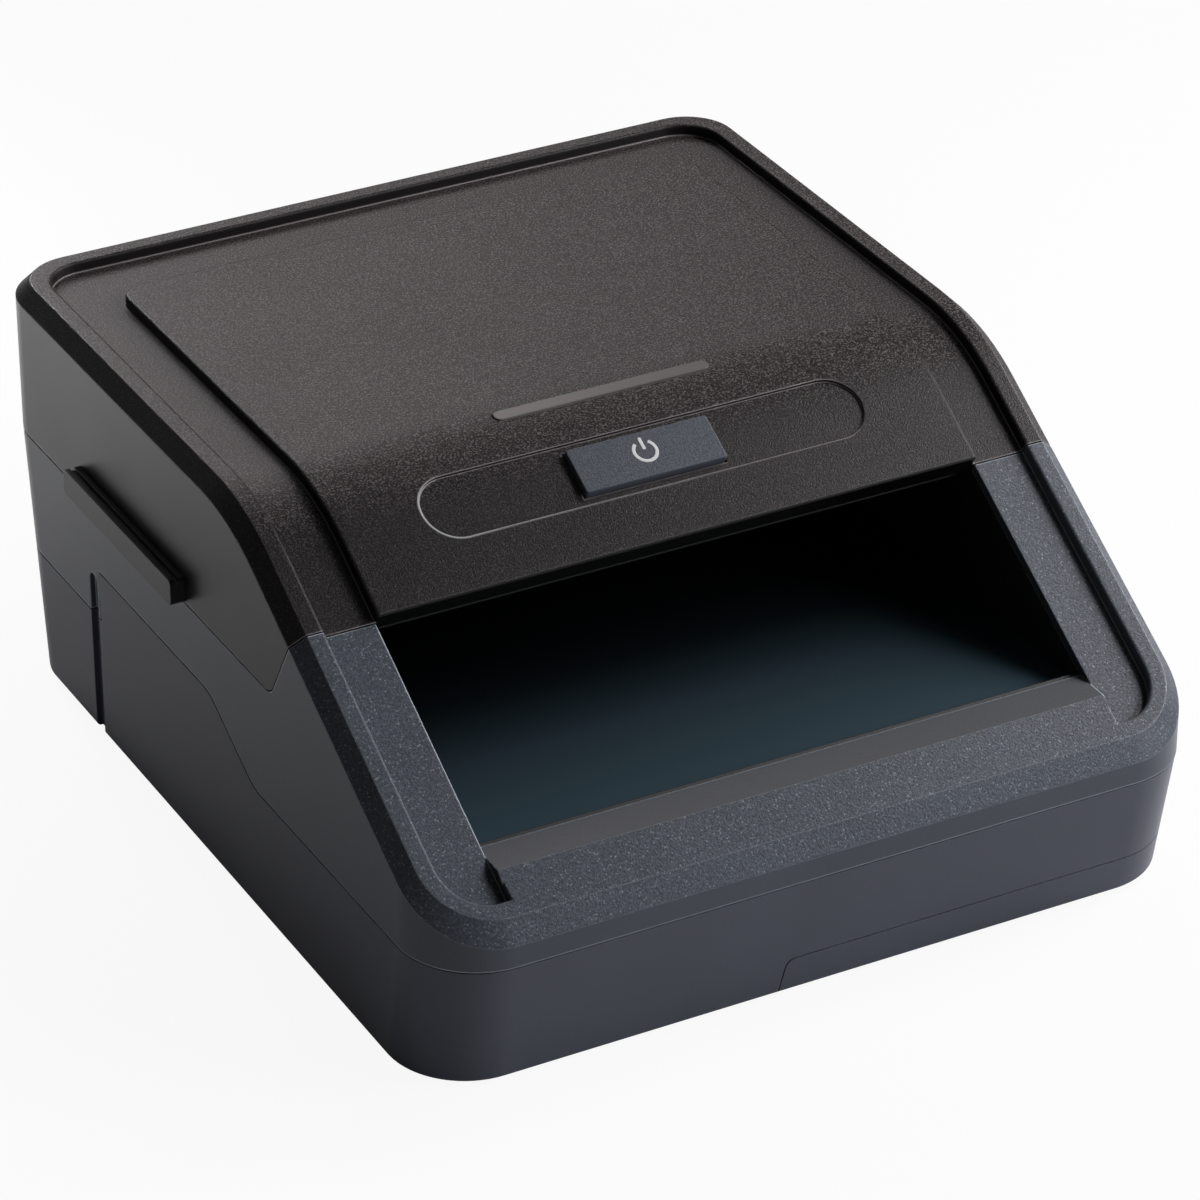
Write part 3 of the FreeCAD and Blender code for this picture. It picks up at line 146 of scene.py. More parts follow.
class Value:
    """A shader value on which Python operators add Math nodes."""

    def __init__(self, tree: "NodeTree", socket: bpy.types.NodeSocket) -> None:
        """Wrap one output socket of a node tree."""
        self.tree = tree
        self.socket = socket

    def joined(self, operation: str, other: Any, reflected: bool = False) -> "Value":
        """Join this value and another one in a Math node.

        Args:
            operation: The Math node's operation.
            other: A value or a number.
            reflected: Whether the other one comes first.

        Returns:
            The Math node's result.
        """
        first, second = (other, self) if reflected else (self, other)
        made = self.tree.node("ShaderNodeMath", {"operation": operation}, {0: first, 1: second})
        return Value(self.tree, made.outputs[0])

    def alone(self, operation: str) -> "Value":
        """Pass this value through a Math node of one input."""
        made = self.tree.node("ShaderNodeMath", {"operation": operation}, {0: self})
        return Value(self.tree, made.outputs[0])

    def __add__(self, other: Any) -> "Value":
        """Sum."""
        return self.joined("ADD", other)

    __radd__ = __add__

    def __sub__(self, other: Any) -> "Value":
        """Difference."""
        return self.joined("SUBTRACT", other)

    def __rsub__(self, other: Any) -> "Value":
        """Difference from a number."""
        return self.joined("SUBTRACT", other, reflected=True)

    def __mul__(self, other: Any) -> "Value":
        """Product."""
        return self.joined("MULTIPLY", other)

    __rmul__ = __mul__

    def between(self, low: float, high: float) -> "Value":
        """Rise smoothly from 0 at low to 1 at high.

        Args:
            low: The value that gives 0.
            high: The value that gives 1.

        Returns:
            The smooth step.
        """
        settings = {"interpolation_type": "SMOOTHSTEP"}
        sockets = {"Value": self, "From Min": low, "From Max": high}
        made = self.tree.node("ShaderNodeMapRange", settings, sockets)
        return Value(self.tree, made.outputs[0])


class NodeTree:
    """The nodes of a material or of the world."""

    def __init__(self, tree: bpy.types.NodeTree) -> None:
        """Take up a tree."""
        self.tree = tree

    def feed(self, socket: bpy.types.NodeSocket, value: Any) -> None:
        """Link a value, or set a number or a colour, on an input socket.

        Args:
            socket: The input.
            value: A Value, a socket, a number, a vector or a colour.
        """
        source = value.socket if isinstance(value, Value) else value
        if isinstance(source, bpy.types.NodeSocket):
            self.tree.links.new(source, socket)
        elif socket.type == "RGBA":
            socket.default_value = (*source, 1.0)
        else:
            socket.default_value = source

    def node(self, kind: str, settings: dict[str, Any], sockets: dict[Any, Any]) -> bpy.types.Node:
        """Add any node.

        Args:
            kind: The node's type.
            settings: Its settings, which are set first.
            sockets: Values or links of its inputs, by name or number.

        Returns:
            The new node.
        """
        made = self.tree.nodes.new(kind)
        for name, setting in settings.items():
            setattr(made, name, setting)
        for key, value in sockets.items():
            self.feed(made.inputs[key], value)
        return made


class Shader(NodeTree):
    """A material and the nodes that are added to it."""

    bevel_samples = 6
    edge_turn: Span = (0.01, 0.16)

    def __init__(self, name: str) -> None:
        """Start a material with one Principled surface."""
        self.material = bpy.data.materials.new(name)
        self.material.use_nodes = True
        super().__init__(self.material.node_tree)
        self.surface = self.tree.nodes["Principled BSDF"]
        self.output = self.tree.nodes["Material Output"]

    def dress(self, **looks: Any) -> bpy.types.Material:
        """Set inputs of the surface.

        Args:
            looks: Values by input, named with underscores for spaces.

        Returns:
            The finished material.
        """
        for name, value in looks.items():
            title = name.replace("_", " ").title().replace("Ior", "IOR")
            self.feed(self.surface.inputs[title], value)
        return self.material

    def place(self, source: Source = Source.PLACE) -> bpy.types.NodeSocket:
        """The place on the piece, or the piece's normal there, in its own coordinates."""
        return self.node("ShaderNodeTexCoord", {}, {}).outputs[source.value]

    def axis(self, axis: Axis, source: Source = Source.PLACE) -> Value:
        """One coordinate of the place, or of the piece's own normal.

        Args:
            axis: Which coordinate.
            source: The place or the normal.

        Returns:
            The coordinate.
        """
        parts = self.node("ShaderNodeSeparateXYZ", {}, {0: self.place(source)})
        return Value(self, parts.outputs[axis.value])

    def noise(self, size: float, detail: float = 2.0, stretch: Vector | None = None) -> Value:
        """Cloudy noise.

        Args:
            size: The size of its clouds, in metres.
            detail: How many finer layers it has.
            stretch: Factors that squeeze the pattern along the three axes.

        Returns:
            A value about one half.
        """
        where = self.place()
        if stretch is not None:
            where = self.node("ShaderNodeMapping", {}, {"Vector": where, "Scale": stretch}).outputs[0]
        sockets = {"Vector": where, "Scale": 1 / size, "Detail": detail}
        return Value(self, self.node("ShaderNodeTexNoise", {}, sockets).outputs[0])

    def grains(self, size: float) -> tuple[Value, Value]:
        """A packed bed of small grains.

        Args:
            size: The size of a grain, in metres.

        Returns:
            The distance from a grain's middle and a number of the grain's own.
        """
        made = self.node("ShaderNodeTexVoronoi", {}, {"Vector": self.place(), "Scale": 1 / size})
        parts = self.node("ShaderNodeSeparateColor", {}, {0: made.outputs["Color"]})
        return Value(self, made.outputs["Distance"]), Value(self, parts.outputs[0])

    def mix(self, factor: Any, first: Any, second: Any) -> bpy.types.NodeSocket:
        """Mix two colours.

        Args:
            factor: The share of the second one.
            first: A colour or a link.
            second: A colour or a link.

        Returns:
            The mixed colour.
        """
        made = self.node("ShaderNodeMix", {"data_type": "RGBA"}, {0: factor, 6: first, 7: second})
        return made.outputs[2]

    def relief(self, height: Value, strength: float, depth: float,
               edge: float = 0.0) -> bpy.types.NodeSocket:
        """A bumped normal, on edges that are rounded a little.

        Args:
            height: The relief.
            strength: Its strength.
            depth: Its depth in metres.
            edge: The radius of the rounded edges in metres.

        Returns:
            The normal.
        """
        sockets = {"Height": height, "Strength": strength, "Distance": depth}
        if edge:
            sockets["Normal"] = self.rounded(edge)
        return self.node("ShaderNodeBump", {}, sockets).outputs[0]

    def rounded(self, radius: float) -> bpy.types.NodeSocket:
        """The normal of a surface whose edges are rounded."""
        settings = {"samples": self.bevel_samples}
        return self.node("ShaderNodeBevel", settings, {"Radius": radius}).outputs[0]

    def edge_wear_and_highlight(self, radius: float) -> Value:
        """Find the rounded edges, which are polished and carry a painted highlight.

        Args:
            radius: The radius of the rounded edges in metres.

        Returns:
            1 on an edge and 0 away from it.
        """
        flat = self.node("ShaderNodeNewGeometry", {}, {}).outputs["Normal"]
        sockets = {0: flat, 1: self.rounded(radius)}
        turned = self.node("ShaderNodeVectorMath", {"operation": "DOT_PRODUCT"}, sockets)
        return (1 - Value(self, turned.outputs["Value"])).between(*self.edge_turn)


@dataclass(frozen=True)
class PaintedRecessHighlight:
    """The outline of the shallow stadium round the key, in the key's own frame, along which a light
    line is painted as a highlight.
    """

    straight: float = 0.0515
    radius: float = 0.0092
    line: float = 0.0005
    core: float = 0.3
    left_end: Span = (-0.058, -0.035)
    left_drop: float = 0.75
    upper_side: Span = (0.002, 0.0085)
    upper_drop: float = 0.7
    right_half: Span = (0.0, 0.03)
    share: float = 0.7
    # Colour of the painted highlight on the recess edge
    colour: Colour = (0.42, 0.43, 0.44)

    def edge(self, shader: Shader) -> Value:
        """Find the recess's edge, along which a painted highlight fades out towards its upper and
        right-hand parts.

        Args:
            shader: The material that asks.

        Returns:
            The most on the edge and 0 away from it.
        """
        _, centre_y, centre_z = KEY_CENTRE
        across = shader.axis(Axis.X)
        rise = (shader.axis(Axis.Y) - centre_y) * math.cos(KEY_TILT)
        rise = rise + (shader.axis(Axis.Z) - centre_z) * math.sin(KEY_TILT)
        past = (across.alone("ABSOLUTE") - self.straight).joined("MAXIMUM", 0.0)
        reach = (past * past + rise * rise).alone("SQRT")
        away = (reach - self.radius).alone("ABSOLUTE")
        # Painted highlight: strongest at the left end and lower side, fading out above and to the right
        faded = across.between(*self.left_end) * self.left_drop
        faded = faded + rise.between(*self.upper_side) * self.upper_drop
        kept = (1 - faded).joined("MAXIMUM", 0.0) * (1 - across.between(*self.right_half))
        return (1 - away.between(self.line * self.core, self.line)) * kept * self.share


@dataclass(frozen=True)
class GrainedPlastic:
    """Moulded plastic with spark-eroded grain and painted bright specks on its upper faces, painted
    highlights along its edges, satin sides and, where asked, a painted sheen on its level faces and
    painted shade under its downward faces.
    """

    name: str
    colour: Colour
    # Highlight colour of the painted glints, the painted sheen and the painted edge highlights
    painted_highlight_colour: Colour
    painted_glint_share: float
    rough: float = 0.38
    side_rough: float = 0.3
    grain: float = 0.0004
    edge: float = 0.0004
    gloss: float = 0.24
    painted_edge_highlight: float = 0.3
    painted_sheen: float = 0.0
    # under: share of painted shade, near black, on faces that point downward
    under: float = 0.0
    level_tone: Colour | None = None
    recess: PaintedRecessHighlight | None = None
    # Faces, by the upward part of their normals
    upper_faces: Span = (0.25, 0.55)
    painted_sheen_faces: Span = (0.86, 0.99)
    smooth_faces: Span = (0.92, 0.98)
    shaded_under_faces: Span = (-0.5, -0.1)
    # Grain, with the painted glints and the painted sheen
    cloud_size: float = 1.2
    painted_glint_pick: Span = (0.8, 1.0)
    painted_glint_fade: Span = (0.2, 0.7)
    painted_sheen_pick: Span = (0.46, 0.7)
    slope_painted_sheen: float = 0.12
    relief: float = 1.0
    depth: float = 0.00008
    dome: float = 0.5
    side_relief: float = 0.08
    # Colour
    contrast: float = 0.28
    side_speckle: float = 0.1
    mottle_size: float = 0.03
    mottle_pick: Span = (0.25, 0.75)
    mottle_share: float = 0.15
    smooth_share: float = 0.85
    painted_under_shade_colour: Colour = (0.002, 0.002, 0.002)
    # Roughness
    glint_polish: float = 0.08
    mottle_rough: float = 0.03
    wear_polish: float = 0.16

    def material(self) -> bpy.types.Material:
        """Build the plastic's material.

        Returns:
            The material.
        """
        shader = Shader(self.name)
        facing = shader.axis(Axis.Z, Source.NORMAL)
        upward = facing.between(*self.upper_faces)
        distance, number = shader.grains(self.grain)
        cloud = shader.noise(self.grain * self.cloud_size)
        mottle = shader.noise(self.mottle_size, LAYERS).between(*self.mottle_pick)
        edge_wear_and_highlight = shader.edge_wear_and_highlight(self.edge)
        # Painted glints: bright specks of the highlight colour, on upper faces only
        painted_glints = number.between(*self.painted_glint_pick) * (1 - distance.between(*self.painted_glint_fade)) * upward
        speckle = (cloud.between(*SOFT) - 0.5) * (upward * (1 - self.side_speckle) + self.side_speckle)
        speckle = 0.5 + speckle + (mottle - 0.5) * self.mottle_share
        deep, pale = scaled(self.colour, 1 - self.contrast), scaled(self.colour, 1 + self.contrast)
        ground = shader.mix(speckle, deep, pale)
        if self.level_tone:
            calm = facing.between(*self.smooth_faces) * self.smooth_share
            painted_glints = painted_glints * (1 - calm)
            ground = shader.mix(painted_glints * self.painted_glint_share, ground, self.painted_highlight_colour)
            ground = shader.mix(calm, ground, self.level_tone)
        else:
            ground = shader.mix(painted_glints * self.painted_glint_share, ground, self.painted_highlight_colour)
        # Painted sheen: level upper faces, and the slope a little, take the highlight colour in cloudy
        # patches
        if self.painted_sheen:
            level = self.slope_painted_sheen + facing.between(*self.painted_sheen_faces) * (1 - self.slope_painted_sheen)
            painted_sheen = cloud.between(*self.painted_sheen_pick) * level * upward
            ground = shader.mix(painted_sheen * self.painted_sheen, ground, self.painted_highlight_colour)
        # Painted highlight along rounded edges; the same mask also polishes them in the roughness below
        ground = shader.mix(edge_wear_and_highlight * self.painted_edge_highlight, ground, self.painted_highlight_colour)
        # Painted highlight along the thumb recess edge
        if self.recess:
            ground = shader.mix(self.recess.edge(shader) * upward, ground, self.recess.colour)
        # Painted shade: faces that point downward are darkened towards near black
        if self.under:
            painted_shade_beneath = 1 - facing.between(*self.shaded_under_faces)
            ground = shader.mix(painted_shade_beneath * self.under, ground, self.painted_under_shade_colour)
        height = cloud + (1 - distance) * self.dome
        height = height * (upward * (1 - self.side_relief) + self.side_relief)
        rough = self.side_rough + upward * (self.rough - self.side_rough) - painted_glints * self.glint_polish
        return shader.dress(
            base_color=ground,
            roughness=rough + mottle * self.mottle_rough - edge_wear_and_highlight * self.wear_polish,
            normal=shader.relief(height, self.relief, self.depth, self.edge),
            specular_ior_level=self.gloss,
        )


@dataclass(frozen=True)
class SatinPlastic:
    """Plain moulded plastic with a faint mottle and a fine eroded skin."""

    name: str
    colour: Colour
    rough: float = 0.45
    mottle: float = 0.18
    mottle_size: float = 0.012
    skin: float = 0.0004
    skin_rough: float = 0.1
    relief: float = 0.12
    depth: float = 0.00006
    edge: float = 0.0003

    def material(self) -> bpy.types.Material:
        """Build the plastic's material.

        Returns:
            The material.
        """
        shader = Shader(self.name)
        cloud = shader.noise(self.mottle_size, LAYERS).between(*SOFT)
        fine = shader.noise(self.skin)
        return shader.dress(
            base_color=shader.mix(cloud, scaled(self.colour, 1 - self.mottle), self.colour),
            roughness=self.rough + (fine - 0.5) * self.skin_rough,
            normal=shader.relief(fine, self.relief, self.depth, self.edge),
        )


@dataclass(frozen=True)
class ChamberFloor:
    """The smooth dark floor: deep blue-green at the front, painted shade taking it to near black
    towards the back, with faint brushed streaks and dust.
    """

    name: str
    # front is the floor's deep blue-green; back is painted shade, near black, under the hood
    front: Colour
    back: Colour
    lit_front_y: float
    shaded_back_y: float
    rough: float = 0.42
    gloss: float = 0.25
    streak_size: float = 0.02
    streak_layers: float = 4.0
    streak_stretch: Place = (0.15, 4.0, 1.0)
    streak_rough: float = 0.12
    relief: float = 0.04
    depth: float = 0.0001
    dust_size: float = 0.0011
    dust_pick: Span = (0.9, 1.0)
    dust_fade: Span = (0.05, 0.3)
    dust_pale: float = 1.5
    dust_share: float = 0.25
    dust_rough: float = 0.1

    def material(self) -> bpy.types.Material:
        """Build the floor's material.

        Returns:
            The material.
        """
        shader = Shader(self.name)
        # Painted shade: the colour darkens from the front to near black towards the back of the chamber
        painted_shade_fade = shader.axis(Axis.Y).between(self.lit_front_y, self.shaded_back_y)
        streak = shader.noise(self.streak_size, self.streak_layers, Vector(self.streak_stretch))
        dust, number = shader.grains(self.dust_size)
        specks = number.between(*self.dust_pick) * (1 - dust.between(*self.dust_fade))
        ground = shader.mix(painted_shade_fade, self.front, self.back)
        rough = self.rough + (streak - 0.5) * self.streak_rough
        return shader.dress(
            base_color=shader.mix(specks * self.dust_share, ground, scaled(self.front, self.dust_pale)),
            roughness=rough + specks * self.dust_rough,
            normal=shader.relief(streak, self.relief, self.depth),
            specular_ior_level=self.gloss,
        )


@dataclass(frozen=True)
class SmokedLightPipe:
    """The status bar: smoked, slightly clouded plastic with a polished skin, and a painted sheen that
    makes it paler towards its left end.
    """

    name: str
    colour: Colour
    pale: float = 1.7
    sheen_slope: float = -12.0
    sheen_share: float = 0.6
    cloud_size: float = 0.004
    cloud_share: float = 0.25
    cloud_rough: float = 0.12
    rough: float = 0.34
    relief: float = 0.05
    depth: float = 0.0001
    edge: float = 0.0006
    coat: float = 0.2
    coat_rough: float = 0.2

    def material(self) -> bpy.types.Material:
        """Build the light pipe's material.

        Returns:
            The material.
        """
        shader = Shader(self.name)
        # Painted sheen: the colour turns paler towards the bar's left end, with clouds mixed in
        sheen = (shader.axis(Axis.X) * self.sheen_slope + 0.5).between(0.0, 1.0)
        cloud = shader.noise(self.cloud_size, LAYERS)
        painted_sheen_and_cloud = sheen * self.sheen_share + cloud * self.cloud_share
        return shader.dress(
            base_color=shader.mix(painted_sheen_and_cloud, self.colour, scaled(self.colour, self.pale)),
            roughness=self.rough + cloud * self.cloud_rough,
            normal=shader.relief(cloud, self.relief, self.depth, self.edge),
            coat_weight=self.coat,
            coat_roughness=self.coat_rough,
        )


@dataclass(frozen=True)
class CircuitBoard:
    """Solder-masked board with copper tracks under the mask."""

    name: str
    mask: Colour
    track: Colour
    tin: Colour = (0.55, 0.5, 0.42)
    track_scale: float = 90.0
    track_width: float = 0.012
    track_soft: float = 0.2
    track_offset: float = 0.37
    track_squash: float = 1.6
    pad_size: float = 0.0035
    pad_pick: Span = (0.8, 0.82)
    pad_edge: Span = (0.2, 0.24)
    pad_metal: float = 0.8
    pad_polish: float = 0.1
    rough: float = 0.35
    relief: float = 0.15
    depth: float = 0.00005

    def material(self) -> bpy.types.Material:
        """Build the board's material.

        Returns:
            The material.
        """
        shader = Shader(self.name)
        settings = {"offset": self.track_offset, "squash": self.track_squash}
        sockets = {"Vector": shader.place(), "Scale": self.track_scale,
                   "Mortar Size": self.track_width, "Mortar Smooth": self.track_soft}
        bricks = Value(shader, shader.node("ShaderNodeTexBrick", settings, sockets).outputs[1])
        copper = bricks.between(*SOFT)
        distance, number = shader.grains(self.pad_size)
        pads = number.between(*self.pad_pick) * (1 - distance.between(*self.pad_edge))
        return shader.dress(
            base_color=shader.mix(pads, shader.mix(copper, self.mask, self.track), self.tin),
            roughness=self.rough - pads * self.pad_polish,
            metallic=pads * self.pad_metal,
            normal=shader.relief(copper + pads, self.relief, self.depth),
        )


@dataclass(frozen=True)
class WorkedMetal:
    """Plated or turned metal with fine tool marks."""

    name: str
    colour: Colour
    rough: float = 0.3
    mark_size: float = 0.0006
    mark_stretch: Place = (1.0, 1.0, 5.0)
    mark_rough: float = 0.2
    cloud_size: float = 0.004
    cloud_pick: Span = (0.3, 0.8)
    dull: float = 0.7
    metal: float = 0.95
    cloud_metal: float = 0.05
    relief: float = 0.08
    depth: float = 0.00004

    def material(self) -> bpy.types.Material:
        """Build the metal's material.

        Returns:
            The material.
        """
        shader = Shader(self.name)
        marks = shader.noise(self.mark_size, LAYERS, Vector(self.mark_stretch))
        cloud = shader.noise(self.cloud_size)
        patches = cloud.between(*self.cloud_pick)
        return shader.dress(
            base_color=shader.mix(patches, self.colour, scaled(self.colour, self.dull)),
            metallic=self.metal + cloud * self.cloud_metal,
            roughness=self.rough + (marks - 0.5) * self.mark_rough,
            normal=shader.relief(marks, self.relief, self.depth),
        )


@dataclass(frozen=True)
class SoftRubber:
    """Matt rubber with fine pores."""

    name: str
    colour: Colour
    rough: float = 0.75
    pore_size: float = 0.0007
    cloud_size: float = 0.003
    cloud_rough: float = 0.15
    pale: float = 1.5
    bloom: float = 0.004
    relief: float = 0.3
    depth: float = 0.0001

    def material(self) -> bpy.types.Material:
        """Build the rubber's material.

        Returns:
            The material.
        """
        shader = Shader(self.name)
        distance, number = shader.grains(self.pore_size)
        cloud = shader.noise(self.cloud_size, LAYERS)
        pale = scaled(self.colour, self.pale, self.bloom)
        return shader.dress(
            base_color=shader.mix(cloud * number, self.colour, pale),
            roughness=self.rough + cloud * self.cloud_rough,
            normal=shader.relief(distance, self.relief, self.depth),
        )


@dataclass(frozen=True)
class MilkyPlastic:
    """Pale light-spreading plastic with a soft prismatic skin."""

    name: str
    colour: Colour
    rough: float = 0.4
    passes: float = 0.0
    prism_size: float = 0.0012
    prism_rough: float = 0.1
    cloud_size: float = 0.01
    dull: float = 0.9
    relief: float = 0.15
    depth: float = 0.0001

    def material(self) -> bpy.types.Material:
        """Build the milky plastic's material.

        Returns:
            The material.
        """
        shader = Shader(self.name)
        distance, _ = shader.grains(self.prism_size)
        cloud = shader.noise(self.cloud_size).between(*SOFT)
        return shader.dress(
            base_color=shader.mix(cloud, self.colour, scaled(self.colour, self.dull)),
            roughness=self.rough + distance * self.prism_rough,
            normal=shader.relief(distance, self.relief, self.depth),
            transmission_weight=self.passes,
        )


@dataclass(frozen=True)
class FlatLead:
    """Flat grey lead with the ridges of its separate wires and painted shade in the grooves between
    them.
    """

    name: str
    colour: Colour
    pitch: float = 0.0015
    dark: float = 0.6
    rough: float = 0.5
    cloud_size: float = 0.004
    cloud_rough: float = 0.1
    relief: float = 0.4
    depth: float = 0.0002

    def material(self) -> bpy.types.Material:
        """Build the lead's material.

        Returns:
            The material.
        """
        shader = Shader(self.name)
        across = shader.axis(Axis.X) * (2 * math.pi / self.pitch)
        ridges = across.alone("SINE") * 0.5 + 0.5
        # Painted shade: the grooves between the ridges are darker
        return shader.dress(
            base_color=shader.mix(ridges, scaled(self.colour, self.dark), self.colour),
            roughness=self.rough + shader.noise(self.cloud_size) * self.cloud_rough,
            normal=shader.relief(ridges, self.relief, self.depth),
        )


def body_of(node: str) -> Body:
    """Find the body that a CAD node rides on.

    Args:
        node: The node's name.

    Returns:
        Its body.
    """
    groups = frame["record"]["behaviour"]["bodies"]
    return next(Body(name) for name, members in groups.items() if node in members)


def new_piece(name: str, shape: bmesh.types.BMesh, material: bpy.types.Material) -> bpy.types.Object:
    """Make an object of a finished shape.

    Args:
        name: The piece's name.
        shape: Its shape, in place. It is freed.
        material: Its finish.

    Returns:
        The new object, smooth but for its creases.
    """
    shape.normal_update()
    for face in shape.faces:
        face.smooth = True
    for edge in shape.edges:
        edge.smooth = edge.calc_face_angle(math.pi) < CREASE
    data = bpy.data.meshes.new(name)
    shape.to_mesh(data)
    shape.free()
    data.materials.clear()
    data.materials.append(material)
    piece = bpy.data.objects.new(name, data)
    bpy.context.scene.collection.objects.link(piece)
    return piece


def tidied(shape: bmesh.types.BMesh) -> bmesh.types.BMesh:
    """Weld a shape's loose triangles and join those that lie in one plane.

    Args:
        shape: The shape, which is changed.

    Returns:
        The same shape.
    """
    bmesh.ops.remove_doubles(shape, verts=shape.verts, dist=WELD)
    bmesh.ops.dissolve_degenerate(shape, edges=shape.edges, dist=WELD)
    bmesh.ops.dissolve_limit(shape, angle_limit=FLAT, verts=shape.verts, edges=shape.edges)
    return shape


def welded(node: str) -> bmesh.types.BMesh:
    """Copy a CAD node's loose triangles as one welded shape.

    Args:
        node: The node's name.

    Returns:
        The welded copy.
    """
    shape = bmesh.new()
    shape.from_mesh(frame["nodes"][node].data)
    return tidied(shape)


@dataclass
class Assembly:
    """Pieces that belong together, by the CAD nodes that they stand for or dress."""

    made: list[str] = field(default_factory=list)

    def paint(self, material: bpy.types.Material, *nodes: str) -> None:
        """Give CAD nodes, as they are, a finish.

        Args:
            material: The finish.
            nodes: The nodes' names.
        """
        for node in nodes:
            slots = frame["nodes"][node].data.materials
            slots.clear()
            slots.append(material)
            self.made.append(node)

    def skin(self, node: str, shape: bmesh.types.BMesh, material: bpy.types.Material,
             slot: str) -> bpy.types.Object:
        """Replace a CAD node by a smoothly shaded shape.

        Args:
            node: The node's name.
            shape: The shape that stands for it. It is freed.
            material: The finish.
            slot: The record's material slot.

        Returns:
            The new piece.
        """
        piece = new_piece(f"{node}_skin", shape, material)
        piece.modifiers.new("even_faces", "WEIGHTED_NORMAL").keep_sharp = True
        self.settle(piece, body_of(node), slot, node)
        return piece

    def smooth(self, material: bpy.types.Material, slot: str, *nodes: str) -> list[bpy.types.Object]:
        """Replace CAD nodes by welded, smoothly shaded copies.

        Args:
            material: The finish.
            slot: The record's material slot.
            nodes: The nodes' names.

        Returns:
            The copies.
        """
        return [self.skin(node, welded(node), material, slot) for node in nodes]

    def settle(self, piece: bpy.types.Object, body: Body, slot: str, *nodes: str) -> None:
        """Let a new piece ride on a body and stand for CAD nodes.

        Args:
            piece: The piece.
            body: What it moves with.
            slot: The record's material slot; it is not used.
            nodes: The nodes that it stands for.
        """
        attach(piece, body.value)
        if nodes:
            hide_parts(*nodes)
        self.made.append(piece.name)


@dataclass
class Shells(Assembly):
    """The hood, the front frame and the base with its hatch, feet and grips."""

    # The hood's under share paints shade on its downward faces, such as the front edge of the visor
    hood: GrainedPlastic = GrainedPlastic(
        "hood_grain", shade(25, 22, 22), shade(156, 146, 147), painted_glint_share=0.16,
        edge=0.0008, painted_edge_highlight=0.9, painted_sheen=0.42, under=0.9, recess=PaintedRecessHighlight(),
    )
    front: GrainedPlastic = GrainedPlastic(
        "frame_grain", shade(72, 76, 84), shade(186, 194, 202), painted_glint_share=0.34,
        grain=0.0005, edge=0.0007, gloss=0.22, painted_edge_highlight=0.85, level_tone=shade(84, 85, 89),
    )
    lower: GrainedPlastic = GrainedPlastic(
        "base_satin", shade(77, 79, 89), shade(120, 125, 132), painted_glint_share=0.1, rough=0.4, gloss=0.14,
    )
    grip: SatinPlastic = SatinPlastic("grip_satin", shade(22, 20, 20))
    foot: SoftRubber = SoftRubber("foot_rubber", shade(24, 24, 25))
    mouth_half: float = 0.0825
    ledge_half: float = 0.0851
    ledge_front: float = -0.1163
    ledge_level: float = 0.0545
    ledge_inside: float = -0.1075
    lip_top: float = -0.1137

    def trimmed_frame(self) -> bmesh.types.BMesh:
        """Cut the ledge back to the mouth's width and slope its front edge in line with the lip.

        Returns:
            The front frame's shape.
        """
        shape = welded("front_frame")
        for vertex in shape.verts:
            place = vertex.co
            if abs(abs(place.x) - self.ledge_half) > NEAR or place.y > self.ledge_inside:
                continue
            if abs(place.y - self.ledge_front) < NEAR and abs(place.z - self.ledge_level) < NEAR:
                place.y = self.lip_top
            place.x = math.copysign(self.mouth_half, place.x)
        return tidied(shape)

    def build(self) -> None:
        """Make the shells and what is fixed on their outside."""
        self.smooth(self.hood.material(), "hood_plastic", "hood_shell")
        self.skin("front_frame", self.trimmed_frame(), self.front.material(), "frame_plastic")
        self.smooth(self.lower.material(), "base_plastic", "base_tray", "service_hatch")
        self.smooth(self.grip.material(), "hood_plastic", "side_grip_left", "side_grip_right")
        self.smooth(self.foot.material(), "foot_rubber", "rubber_feet")


